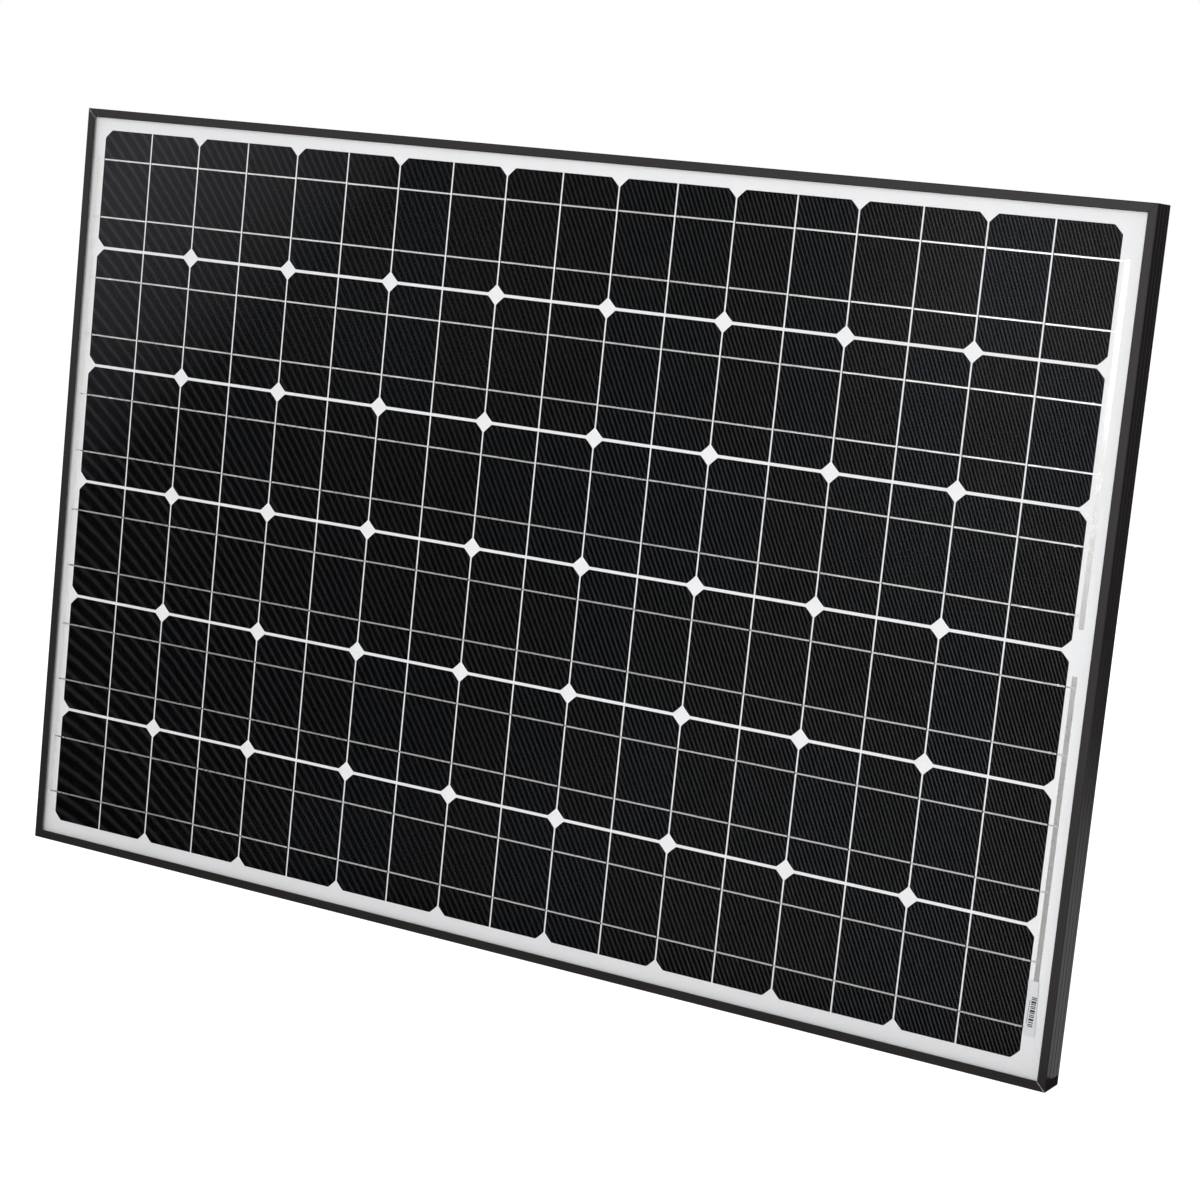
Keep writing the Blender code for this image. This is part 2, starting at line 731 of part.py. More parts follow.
def make_box_base():
    base = prism(
        "junction_box_base",
        [box_outline(0.0)],
        "Y",
        BOX_FLOOR_Y,
        BOX_RIM_Y,
        "black_plastic",
    )
    beyond = BOX_RIM_Y + BOX_WALL
    pocket = prism("box_pocket", [box_outline(BOX_WALL)], "Y", CAVITY_Y, beyond, None)
    combine(base, pocket, "DIFFERENCE")
    low = BOX_FLOOR_Y - BOX_FLOOR
    window = prism("box_window", [lead_window()], "Y", low, CAVITY_Y + BOX_FLOOR, None)
    combine(base, window, "DIFFERENCE")
    combine(base, gland_holes(), "DIFFERENCE")
    combine(base, terminal_posts(), "UNION")
    return combine(base, hinge_lugs(), "UNION")


def make_hinge_pin():
    half = LUG_SPREAD + LUG_WIDTH / 2
    outline = circle((HINGE_Y, HINGE_Z), PIN_RADIUS)
    low, high = BOX_MIDDLE_X - half, BOX_MIDDLE_X + half
    pin = prism("lid_hinge_pin", [outline], "X", low, high, "steel")
    shade_round(pin)


def make_gasket():
    low = BOX_RIM_Y + (LID_Y - BOX_RIM_Y - GASKET_THICKNESS) / 2
    inset = (BOX_WALL - GASKET_WIDTH) / 2
    rings = [box_outline(inset), box_outline(inset + GASKET_WIDTH)]
    prism("lid_gasket", rings, "Y", low, low + GASKET_THICKNESS, "black_rubber")


def make_lid():
    """A flat cover with a tongue inside the walls, a hinge barrel and two latch clips."""
    far = LID_Y + LID_THICKNESS
    lid = prism("junction_box_lid", [box_outline(0.0)], "Y", LID_Y, far, "black_plastic")
    inset = BOX_WALL + TONGUE_GAP
    rings = [box_outline(inset), box_outline(inset + TONGUE_THICKNESS)]
    overlap = LID_THICKNESS / 2
    low = LID_Y - TONGUE_DEPTH
    combine(lid, prism("lid_tongue", rings, "Y", low, LID_Y + overlap, None), "UNION")
    left = BOX_MIDDLE_X - BARREL_LENGTH / 2
    right = BOX_MIDDLE_X + BARREL_LENGTH / 2
    top = MIDDLE_Z + BOX_HALF_HEIGHT
    web = block("lid_web", (left, LID_Y, top - BOX_WALL), (right, far, HINGE_Z), None)
    combine(lid, web, "UNION")
    barrel = circle((HINGE_Y, HINGE_Z), KNUCKLE_RADIUS)
    combine(lid, prism("lid_barrel", [barrel], "X", left, right, None), "UNION")
    bore = circle((HINGE_Y, HINGE_Z), PIN_RADIUS + PIN_CLEARANCE)
    low, high = left - LUG_WIDTH, right + LUG_WIDTH
    combine(lid, prism("lid_bore", [bore], "X", low, high, None), "DIFFERENCE")
    foot = MIDDLE_Z - BOX_HALF_HEIGHT
    for number, side in enumerate((-1, 1)):
        x = BOX_MIDDLE_X + side * CLIP_SPREAD
        near, outer = foot - CLIP_GAP, foot - CLIP_GAP - CLIP_THICKNESS
        hook = [
            (far, foot + BOX_WALL),
            (LID_Y, foot + BOX_WALL),
            (LID_Y, near),
            (far - CLIP_REACH, near),
            (far - CLIP_REACH, outer),
            (far - CLIP_THICKNESS / 2, outer),
            (far, outer + CLIP_THICKNESS / 2),
        ]
        low, high = x - CLIP_WIDTH / 2, x + CLIP_WIDTH / 2
        clip = prism(f"lid_clip_{number}", [hook], "X", low, high, None)
        combine(lid, clip, "UNION")
    set_origin(lid, (BOX_MIDDLE_X, HINGE_Y, HINGE_Z))


# ---------------------------------------------------------------- cable glands
def make_gland(name, side):
    """Body, rubber seal and nut, all on one axis that points left out of the box."""
    centre = (GLAND_Y, MIDDLE_Z + side * GLAND_OFFSET)
    hex_near = BOX_LEFT - FIT_GAP
    hex_far = hex_near - GLAND_HEX_THICKNESS
    stem_end = BOX_LEFT - GLAND_STEM_LENGTH
    bore = circle(centre, GLAND_BORE)
    stem = [circle(centre, GLAND_STEM), bore]
    body = prism(
        f"gland_body_{name}", stem, "X", stem_end, BOX_LEFT + BOX_WALL, "black_plastic"
    )
    collar = [circle(centre, GLAND_HEX, 6), circle(centre, (GLAND_BORE + GLAND_STEM) / 2)]
    combine(body, prism(f"gland_collar_{name}", collar, "X", hex_far, hex_near, None), "UNION")
    shade_round(body)

    seal_end = stem_end + FIT_GAP
    rings = [circle(centre, SEAL_RADIUS), circle(centre, SEAL_BORE)]
    seal = prism(
        f"gland_seal_{name}", rings, "X", seal_end, seal_end + SEAL_LENGTH, "black_rubber"
    )
    shade_round(seal)

    nut_near = hex_far - FIT_GAP
    nut_inner = stem_end - FIT_GAP
    nut_far = nut_inner - NUT_END
    sleeve = [circle(centre, NUT_RADIUS, 12), circle(centre, NUT_BORE)]
    nut = prism(f"gland_nut_{name}", sleeve, "X", nut_inner, nut_near, "black_plastic")
    wide, narrow = circle(centre, NUT_RADIUS, 12), circle(centre, GLAND_STEM + FIT_GAP, 12)
    mesh_data = bmesh.new()
    overlap = nut_inner + FIT_GAP
    add_prism(mesh_data, [wide, circle(centre, NUT_MOUTH)], "X", nut_far, overlap)
    for vertex in mesh_data.verts:
        for old, new in zip(wide, narrow):
            if (vertex.co - along("X", *old, nut_far)).length < LAYER_GAP:
                vertex.co = along("X", *new, nut_far)
    combine(nut, add_object(f"gland_dome_{name}", mesh_data, None), "UNION")
    set_origin(nut, (nut_inner, *centre))
    shade_round(nut)


# ---------------------------------------------------------------- inside the box
def make_terminal(name, offset):
    """A tinned rail with its right end turned up beside the lead ribbon."""
    z = MIDDLE_Z + offset
    tab_far = LEAD_X - FIT_GAP
    tab_near = tab_far - TERMINAL_THICKNESS
    top = TERMINAL_Y + TERMINAL_THICKNESS
    section = [
        (TERMINAL_LEFT, TERMINAL_Y),
        (tab_far, TERMINAL_Y),
        (tab_far, top + TERMINAL_RISE),
        (tab_near, top + TERMINAL_RISE),
        (tab_near, top),
        (TERMINAL_LEFT, top),
    ]
    low, high = z - TERMINAL_WIDTH / 2, z + TERMINAL_WIDTH / 2
    rail = prism(f"terminal_{name}", [section], "Z", low, high, "tinned_copper")
    if name != "centre":
        hole = circle((SCREW_X, z), SCREW_RADIUS + FIT_GAP, 12)
        near, far = TERMINAL_Y - TERMINAL_THICKNESS, top + TERMINAL_THICKNESS
        cutter = prism(f"terminal_hole_{name}", [hole], "Y", near, far, None)
        combine(rail, cutter, "DIFFERENCE")


def make_terminal_screw(name, offset):
    centre = (SCREW_X, MIDDLE_Z + offset)
    head_y = TERMINAL_Y + TERMINAL_THICKNESS + FIT_GAP
    head = [circle(centre, SCREW_HEAD_RADIUS, 12)]
    screw = prism(
        f"terminal_screw_{name}", head, "Y", head_y, head_y + SCREW_HEAD_HEIGHT, "steel"
    )
    overlap = head_y + SCREW_HEAD_HEIGHT / 2
    low = max(head_y - SCREW_LENGTH, CAVITY_Y + FIT_GAP)
    shank = [circle(centre, SCREW_RADIUS, 12)]
    combine(screw, prism(f"screw_shank_{name}", shank, "Y", low, overlap, None), "UNION")
    cross = 0.0008
    reach = SCREW_HEAD_RADIUS - cross
    slot_low = head_y + SCREW_HEAD_HEIGHT / 2 + cross / 2
    driver = block(
        f"screw_slot_{name}",
        (centre[0] - reach, slot_low, centre[1] - cross / 2),
        (centre[0] + reach, head_y + 2 * SCREW_HEAD_HEIGHT, centre[1] + cross / 2),
        None,
    )
    combine(screw, driver, "DIFFERENCE")
    shade_round(screw)


def make_spring_clip(name, offset):
    """A spring-steel U that pinches the lead ribbon against the rail's turned-up end."""
    z = MIDDLE_Z + offset
    inner_near = LEAD_X - FIT_GAP - TERMINAL_THICKNESS - FIT_GAP
    inner_far = LEAD_X + BUS_THICKNESS + FIT_GAP
    foot = TERMINAL_Y + TERMINAL_THICKNESS + 2 * FIT_GAP
    roof = LEAD_TOP_Y + FIT_GAP
    section = [
        (inner_near - SPRING_THICKNESS, foot),
        (inner_near, foot),
        (inner_near, roof),
        (inner_far, roof),
        (inner_far, foot),
        (inner_far + SPRING_THICKNESS, foot),
        (inner_far + SPRING_THICKNESS, roof + SPRING_THICKNESS),
        (inner_near - SPRING_THICKNESS, roof + SPRING_THICKNESS),
    ]
    low, high = z - SPRING_WIDTH / 2, z + SPRING_WIDTH / 2
    prism(f"spring_clip_{name}", [section], "Z", low, high, "steel")


def make_diode(number, low_offset, high_offset):
    """An axial bypass diode lying across two neighbouring terminal rails."""
    z = MIDDLE_Z + (low_offset + high_offset) / 2
    y = TERMINAL_Y + TERMINAL_THICKNESS + FIT_GAP + DIODE_LEAD_RADIUS
    centre = (DIODE_X, y)
    half = DIODE_LENGTH / 2
    body = [circle(centre, DIODE_RADIUS)]
    diode = prism(f"bypass_diode_{number}", body, "Z", z - half, z + half, "diode_body")
    lead = [circle(centre, DIODE_LEAD_RADIUS, 8)]
    reach = DIODE_LEAD_REACH
    tool = prism(f"diode_lead_{number}", lead, "Z", z - reach, z + reach, None)
    combine(diode, tool, "UNION")
    shade_round(diode)


# ---------------------------------------------------------------- assembly
def build_panel():
    clear_scene()
    make_long_rail("frame_rail_bottom", bottom=True)
    make_long_rail("frame_rail_top", bottom=False)
    make_short_rail("frame_rail_left", -1)
    make_short_rail("frame_rail_right", 1)
    for across, side in (("left", -1), ("right", 1)):
        for height, bottom in (("bottom", True), ("top", False)):
            make_corner_key(f"corner_key_{height}_{across}", side, bottom)
    make_edge_seal()
    make_sheets()
    for row in range(STRING_COUNT):
        make_cell_string(row)
    make_bus_ribbons()
    make_insulation()
    make_labels()
    make_box_adhesive()
    make_box_base()
    make_hinge_pin()
    make_gasket()
    make_lid()
    for name, side in (("positive", 1), ("negative", -1)):
        make_gland(name, side)
        make_terminal_screw(name, TERMINAL_OFFSETS[name])
    for name, offset in TERMINAL_OFFSETS.items():
        make_terminal(name, offset)
        make_spring_clip(name, offset)
    make_diode(1, 0.0, LEAD_OFFSET)
    make_diode(2, -LEAD_OFFSET, 0.0)


build_panel()
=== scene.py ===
"""Looks of the framed solar panel: its cells, ribbons, glass, frame finish and junction box."""

import json
import math
import random

import bmesh
import bpy
from mathutils import Matrix, Vector


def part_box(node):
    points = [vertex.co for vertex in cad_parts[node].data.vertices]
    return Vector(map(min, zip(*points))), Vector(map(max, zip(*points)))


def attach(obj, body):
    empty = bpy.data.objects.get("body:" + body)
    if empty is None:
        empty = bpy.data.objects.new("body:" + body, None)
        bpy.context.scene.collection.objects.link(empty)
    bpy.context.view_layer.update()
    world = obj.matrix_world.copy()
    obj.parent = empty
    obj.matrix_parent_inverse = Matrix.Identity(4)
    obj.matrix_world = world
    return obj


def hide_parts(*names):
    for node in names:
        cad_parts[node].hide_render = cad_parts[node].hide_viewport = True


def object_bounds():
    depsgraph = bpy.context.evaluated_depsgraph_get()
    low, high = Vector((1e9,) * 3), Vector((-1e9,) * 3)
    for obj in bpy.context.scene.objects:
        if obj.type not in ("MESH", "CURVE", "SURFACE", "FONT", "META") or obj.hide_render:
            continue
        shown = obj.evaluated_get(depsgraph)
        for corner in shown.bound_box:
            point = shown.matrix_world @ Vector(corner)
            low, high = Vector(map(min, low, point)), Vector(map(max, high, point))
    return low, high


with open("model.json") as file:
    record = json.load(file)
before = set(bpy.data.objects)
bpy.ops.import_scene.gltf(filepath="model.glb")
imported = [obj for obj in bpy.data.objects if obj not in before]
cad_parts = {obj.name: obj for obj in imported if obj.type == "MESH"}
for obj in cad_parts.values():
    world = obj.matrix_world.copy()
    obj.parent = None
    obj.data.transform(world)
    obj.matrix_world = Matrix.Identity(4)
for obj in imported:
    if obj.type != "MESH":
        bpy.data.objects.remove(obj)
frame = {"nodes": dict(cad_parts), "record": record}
CAD_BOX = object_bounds()

MM = 0.001
PANEL = "panel"
BODY_OF = {
    node: body
    for body, nodes in frame["record"]["behaviour"]["bodies"].items()
    for node in nodes
}

# ---------------------------------------------------------------- places read from the frame
PANEL_LOW = Vector(CAD_BOX[0])
PANEL_HIGH = Vector(CAD_BOX[1])
PANEL_WIDTH = PANEL_HIGH.x - PANEL_LOW.x
PANEL_HEIGHT = PANEL_HIGH.z - PANEL_LOW.z
MIDDLE_Z = (PANEL_HIGH.z + PANEL_LOW.z) / 2
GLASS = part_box("front_glass")
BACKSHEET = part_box("backsheet")
REAR_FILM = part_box("rear_encapsulant")
LEFT_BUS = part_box("bus_ribbon_left")
UPPER_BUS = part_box("bus_ribbon_right_upper")
SERIAL_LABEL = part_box("serial_label")
RATING_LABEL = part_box("rating_label")
BOX_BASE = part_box("junction_box_base")
BOX_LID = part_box("junction_box_lid")
STRINGS = [f"cell_string_{n}" for n in range(1, 7)]
STRING_MIDDLES = [sum(corner[2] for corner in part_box(node)) / 2 for node in STRINGS]

# ---------------------------------------------------------------- cells
WAFER_SIZE = 125 * MM
WAFER_RADIUS = 82.5 * MM
WAFER_THICKNESS = 0.2 * MM
HALF_WIDTH = WAFER_SIZE / 2
WAFER_EDGE = 0.16 * MM  # trimmed from each side, so that the white film shows a little wider
CELL_GAP = 1.35 * MM
CELL_PITCH = HALF_WIDTH + CELL_GAP
HALVES = 18
BUSBAR_OFFSET = 31 * MM
TAB_WIDTH = 1.5 * MM
TAB_THICKNESS = 0.15 * MM
TAB_POINTS = 9  # along each half cell, so that the soft ribbon can wander a little
FINGER_PITCH = 1.775 * MM
FINGER_WIDTH = 0.07 * MM
FINGER_CREST = 0.04 * MM
FINGER_HEIGHT = 0.02 * MM
FINGER_MARGIN = 1.0 * MM
ARC_STEPS = 4
MATRIX_WIDTH = HALVES * CELL_PITCH - CELL_GAP
TAB_FRONT_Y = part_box(STRINGS[0])[0][1]
WAFER_FRONT_Y = TAB_FRONT_Y + TAB_THICKNESS
WAFER_BACK_Y = WAFER_FRONT_Y + WAFER_THICKNESS
BACKING_FRONT_Y = WAFER_BACK_Y + 0.03 * MM
BUS_WIDTH = LEFT_BUS[1][0] - LEFT_BUS[0][0]
MATRIX_X = (LEFT_BUS[0][0] + UPPER_BUS[1][0]) / 2
BUS_INNER = UPPER_BUS[1][0] - BUS_WIDTH - MATRIX_X

# The cells' slanted shimmer, painted into their colour, in lines to the metre at the panel's middle, and
# how that number grows with each metre to the right and upwards.
HATCH_ACROSS = 151
HATCH_DOWN = 88
HATCH_GROWTH = 200
HATCH_SKEW = 53
HATCH_SHARPNESS = 3.5

# The cells' painted sheen, a reflection painted into their colour, sets in, and is full, where the
# metres above the panel's middle and the metres left of it add up to these.
PAINTED_SHEEN_START = 0.55
PAINTED_SHEEN_END = 0.90

# The window in the backsheet, where the leads come out, is a slot behind the junction box.
WINDOW_X = 545 * MM
WINDOW_WIDTH = 8 * MM
WINDOW_HEIGHT = 60 * MM


# ---------------------------------------------------------------- mesh helpers
def add_piece(name, mesh_data, material, body=PANEL, smooth=False):
    """A piece that rides on a body of the frame, under the given name and with the given material."""
    bmesh.ops.recalc_face_normals(mesh_data, faces=mesh_data.faces)
    mesh = bpy.data.meshes.new(name)
    mesh_data.to_mesh(mesh)
    mesh_data.free()
    mesh.materials.append(material)
    if smooth:
        mesh.shade_smooth()
        mesh.set_sharp_from_angle(angle=math.radians(35))
    piece = bpy.data.objects.new(name, mesh)
    bpy.context.scene.collection.objects.link(piece)
    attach(piece, body)
    return piece


def join_rings(mesh_data, rings):
    """Side faces between rings of equal length, and a cap on the first and the last."""
    count = len(rings[0])
    for ring, following in zip(rings, rings[1:]):
        for i in range(count):
            j = (i + 1) % count
            mesh_data.faces.new((ring[i], ring[j], following[j], following[i]))
    mesh_data.faces.new(rings[0])
    mesh_data.faces.new(rings[-1])


def add_layers(mesh_data, layers):
    """A closed body through outlines in X and Z, each at its own Y."""
    join_rings(mesh_data, [[mesh_data.verts.new((x, y, z)) for x, z in pts] for pts, y in layers])


def rectangle(low_x, low_z, high_x, high_z, inset=0.0):
    """A rectangular outline in X and Z, made smaller all round by the inset."""
    return [
        (low_x + inset, low_z + inset),
        (high_x - inset, low_z + inset),
        (high_x - inset, high_z - inset),
        (low_x + inset, high_z - inset),
    ]


def turned(points, centre, angle):
    """Points in X and Z, turned about a centre."""
    cosine, sine = math.cos(angle), math.sin(angle)
    for x, z in points:
        u, v = x - centre[0], z - centre[1]
        yield centre[0] + cosine * u - sine * v, centre[1] + sine * u + cosine * v


def add_strip(mesh_data, path, width, thickness):
    """A flat ribbon along (x, y, z, twist) points that run in X. Twist is in radians."""
    rings = []
    for x, y, z, twist in path:
        ring = []
        for side_y, side_z in ((-1, -1), (-1, 1), (1, 1), (1, -1)):
            lift = side_y * thickness / 2 + side_z * twist * width / 2
            ring.append(mesh_data.verts.new((x, y + lift, z + side_z * width / 2)))
        rings.append(ring)
    join_rings(mesh_data, rings)


def add_dome(mesh_data, centre, reach, height, wobble):
    """A low pool of solder on a plane that faces -Y."""
    sides, levels = 12, 3
    rings = []
    for level in range(levels):
        angle = math.pi / 2 * level / levels
        radius, rise = math.cos(angle), height * math.sin(angle)
        ring = []
        for i in range(sides):
            turn = 2 * math.pi * i / sides
            swell = radius * (1 + wobble.uniform(-0.12, 0.12))
            x = centre[0] + reach[0] * swell * math.cos(turn)
            z = centre[2] + reach[1] * swell * math.sin(turn)
            ring.append(mesh_data.verts.new((x, centre[1] - rise, z)))
        rings.append(ring)
    join_rings(mesh_data, rings)


def add_sheet_with_window(mesh_data, low, high, near_y, far_y, window):
    """A rectangular sheet with a rectangular slot right through it."""
    outer = rectangle(low[0], low[2], high[0], high[2])
    loops = [
        [[mesh_data.verts.new((x, y, z)) for x, z in outline] for outline in (outer, window)]
        for y in (near_y, far_y)
    ]
    for i in range(4):
        j = (i + 1) % 4
        for edge, hole in loops:
            mesh_data.faces.new((edge[i], edge[j], hole[j], hole[i]))
        for near, far in zip(*loops):
            mesh_data.faces.new((near[i], near[j], far[j], far[i]))


# ---------------------------------------------------------------- material helpers
class Shading:
    """A new material with short ways to add and join nodes."""

    def __init__(self, name):
        self.material = bpy.data.materials.new(name)
        self.material.use_nodes = True
        self.tree = self.material.node_tree
        self.shader = self.tree.nodes["Principled BSDF"]
        self.output = self.tree.nodes["Material Output"]
        self.place = self.add("ShaderNodeTexCoord").outputs["Object"]

    def add(self, kind, **settings):
        node = self.tree.nodes.new(kind)
        for key, value in settings.items():
            setattr(node, key, value)
        return node

    def link(self, start, end):
        self.tree.links.new(start, end)

    def stretched(self, scale):
        """The object's own coordinates, in metres, scaled along each axis."""
        mapping = self.add("ShaderNodeMapping")
        mapping.inputs["Scale"].default_value = scale
        self.link(self.place, mapping.inputs["Vector"])
        return mapping.outputs["Vector"]

    def noise(self, scale, detail=3.0, stretch=(1, 1, 1), roughness=0.5):
        node = self.add("ShaderNodeTexNoise")
        node.inputs["Scale"].default_value = scale
        node.inputs["Detail"].default_value = detail
        node.inputs["Roughness"].default_value = roughness
        self.link(self.stretched(stretch), node.inputs["Vector"])
        return node.outputs["Fac"]

    def ramp(self, factor, stops):
        node = self.add("ShaderNodeValToRGB")
        elements = node.color_ramp.elements
        while len(elements) < len(stops):
            elements.new(0.5)
        for element, (position, colour) in zip(elements, stops):
            element.position = position
            element.color = (*colour, 1.0)
        self.link(factor, node.inputs["Fac"])
        return node.outputs["Color"]

    def spread(self, factor, low, high, start=0.3, end=0.7):
        """Maps start to end on to low to high, and holds the ends beyond them."""
        node = self.add("ShaderNodeMapRange")
        node.inputs["From Min"].default_value = start
        node.inputs["From Max"].default_value = end
        node.inputs["To Min"].default_value = low
        node.inputs["To Max"].default_value = high
        self.link(factor, node.inputs["Value"])
        return node.outputs["Result"]

    def maths(self, operation, first, second=None):
        node = self.add("ShaderNodeMath", operation=operation)
        for socket, value in zip(node.inputs, (first, second)):
            if value is None:
                continue
            if isinstance(value, (int, float)):
                socket.default_value = value
            else:
                self.link(value, socket)
        return node.outputs["Value"]

    def blend_colour(self, factor, first, second):
        node = self.add("ShaderNodeMix", data_type="RGBA")
        self.link(factor, node.inputs["Factor"])
        for socket, value in ((node.inputs[6], first), (node.inputs[7], second)):
            if isinstance(value, tuple):
                socket.default_value = (*value, 1.0)
            else:
                self.link(value, socket)
        return node.outputs[2]

    def axes(self):
        node = self.add("ShaderNodeSeparateXYZ")
        self.link(self.place, node.inputs["Vector"])
        return node.outputs["X"], node.outputs["Y"], node.outputs["Z"]

    def bump(self, height, distance, strength=1.0):
        node = self.add("ShaderNodeBump")
        node.inputs["Strength"].default_value = strength
        node.inputs["Distance"].default_value = distance
        self.link(height, node.inputs["Height"])
        self.link(node.outputs["Normal"], self.shader.inputs["Normal"])

    def set(self, **values):
        for name, value in values.items():
            socket = self.shader.inputs[name.replace("_", " ")]
            if isinstance(value, (int, float)):
                socket.default_value = value
            elif isinstance(value, tuple):
                socket.default_value = (*value, 1.0)
            else:
                self.link(value, socket)


def shades(colour, spread):
    """A darker and a lighter version of a colour."""
    dark = tuple(c * (1 - spread) for c in colour)
    light = tuple(min(1.0, c * (1 + spread)) for c in colour)
    return dark, light


def grained(name, colour, roughness, metallic=0.0, grain=1500.0, variation=0.12, height=0.02 * MM):
    """A moulded or cast surface: cloudy colour, uneven roughness and a fine grain."""
    look = Shading(name)
    dark, light = shades(colour, variation)
    look.set(
        Base_Color=look.ramp(look.noise(18.0, 4.0), ((0.3, dark), (0.7, light))),
        Metallic=metallic,
        Roughness=look.spread(look.noise(90.0, 4.0), roughness * 0.88, roughness * 1.12),
    )
    look.bump(look.noise(grain, 2.0), height, 0.6)
    return look.material


# ---------------------------------------------------------------- materials
def anodised_frame(name, along):
    """Black anodised extrusion, with die lines along the rail and bare metal at two of the mitres, which
    is partly the cut metal and partly a painted glint, as only the two mitres that catch the light show
    it.
    """
    look = Shading(name)
    stretch = (0.004, 1, 1) if along == "X" else (1, 1, 0.004)
    lines = look.noise(900.0, 3.0, stretch)
    cloud = look.noise(7.0, 3.0)
    body = look.ramp(lines, ((0.25, (0.0158, 0.0131, 0.0130)), (0.75, (0.0222, 0.0188, 0.0187))))
    worn = look.blend_colour(look.spread(cloud, 0.0, 0.35), body, (0.029, 0.0245, 0.0245))
    x, _, z = look.axes()
    rise = look.maths("SUBTRACT", z, MIDDLE_Z)
    side = look.maths("SUBTRACT", PANEL_WIDTH / 2, look.maths("ABSOLUTE", x))
    end = look.maths("SUBTRACT", PANEL_HEIGHT / 2, look.maths("ABSOLUTE", rise))
    mitre = look.maths("ABSOLUTE", look.maths("SUBTRACT", side, end))
    # The light grey line at the top left and bottom right mitres is partly bare cut metal and partly
    # painted glint: the other two mitres are left dark.
    bare_metal_and_glint = look.spread(mitre, 1.0, 0.0, 0.25 * MM, 0.7 * MM)
    glinting_corner = look.maths("LESS_THAN", look.maths("MULTIPLY", x, rise), 0.0)
    patchy = look.maths("MULTIPLY", look.spread(look.noise(420.0), 0.3, 1.0), glinting_corner)
    look.set(
        Base_Color=look.blend_colour(look.maths("MULTIPLY", bare_metal_and_glint, patchy), worn, (0.62, 0.61, 0.60)),
        Roughness=look.spread(lines, 0.36, 0.46),
        Specular_IOR_Level=0.32,
    )
    look.bump(lines, 0.015 * MM, 0.5)
    return look.material


def painted_shimmer(look):
    """A painted shimmer: the slanted lines of light that fine printed fingers show from afar, stronger
    towards the right.
    """
    x, _, z = look.axes()
    rise = look.maths("SUBTRACT", z, MIDDLE_Z)
    growing = look.maths("ADD", look.maths("MULTIPLY", x, HATCH_GROWTH / 2), HATCH_ACROSS)
    skewed = look.maths("ADD", growing, look.maths("MULTIPLY", rise, HATCH_SKEW))
    across = look.maths("MULTIPLY", x, skewed)
    lines = look.maths("ADD", across, look.maths("MULTIPLY", rise, HATCH_DOWN))
    unevenness = look.spread(look.noise(60.0, 2.0), -0.25, 0.25)
    phase = look.maths("ADD", look.maths("MULTIPLY", lines, 2 * math.pi), unevenness)
    # Painted highlight: bright lines in the cells' colour where the fingers would glint.
    swing = look.spread(look.maths("COSINE", phase), 0.0, 1.0, -1.0, 1.0)
    wave = look.maths("POWER", swing, HATCH_SHARPNESS)
    patches = look.spread(look.noise(150.0, 2.0, (1, 1, 0.5)), 0.75, 1.0)
    strength = look.maths("MULTIPLY", patches, look.spread(x, 0.36, 1.0, -0.10, 0.50))
    return look.maths("MULTIPLY", wave, strength)


def cell_tone(look):
    """A colour that differs slightly from one half cell to the next."""
    row_pitch = STRING_MIDDLES[0] - STRING_MIDDLES[1]
    left = HALVES / 2 * CELL_PITCH - MATRIX_X
    below = row_pitch / 2 - STRING_MIDDLES[-1]
    shift = look.add("ShaderNodeVectorMath", operation="ADD")
    shift.inputs[1].default_value = (left, 0.5, below)
    look.link(look.place, shift.inputs[0])
    snapped = look.add("ShaderNodeVectorMath", operation="SNAP")
    snapped.inputs[1].default_value = (CELL_PITCH, 1.0, row_pitch)
    look.link(shift.outputs["Vector"], snapped.inputs[0])
    cell = look.add("ShaderNodeTexWhiteNoise", noise_dimensions="3D")
    look.link(snapped.outputs["Vector"], cell.inputs["Vector"])
    warm, plain, blue = (0.0520, 0.0450, 0.0430), (0.0440, 0.0435, 0.0450), (0.0440, 0.0458, 0.0563)
    return look.ramp(cell.outputs["Value"], ((0.0, warm), (0.45, plain), (1.0, blue)))


def silicon(name):
    """Blue-black wafers under the painted shimmer, with a sheen painted into their colour towards the
    panel's upper left.
    """
    look = Shading(name)
    x, _, z = look.axes()
    # Painted reflection: both colours lighten towards the panel's upper left, as a broad reflection in
    # the glass would light it.
    corner = look.maths("SUBTRACT", look.maths("SUBTRACT", z, MIDDLE_Z), x)
    painted_sheen = look.spread(corner, 0.0, 1.0, PAINTED_SHEEN_START, PAINTED_SHEEN_END)
    dark = look.blend_colour(painted_sheen, (0.0006, 0.0006, 0.0008), (0.0225, 0.0220, 0.0245))
    crest = look.blend_colour(painted_sheen, cell_tone(look), (0.085, 0.084, 0.090))
    look.set(
        Base_Color=look.blend_colour(painted_shimmer(look), dark, crest),
        Roughness=look.spread(look.noise(260.0, 5.0), 0.30, 0.42),
        Specular_IOR_Level=0.02,
    )
    look.bump(look.noise(2600.0, 2.0), 0.004 * MM, 0.4)
    return look.material


def printed_silver(name):
    """The fingers' fired silver paste, painted near black: shade that stands for the dark surroundings
    the silver would reflect.
    """
    look = Shading(name)
    look.set(
        Base_Color=look.ramp(
            look.noise(500.0),
            ((0.3, (0.035, 0.035, 0.036)), (0.7, (0.055, 0.055, 0.057))),
        ),
        Roughness=look.spread(look.noise(900.0), 0.5, 0.65),
        Specular_IOR_Level=0.15,
    )
    return look.material


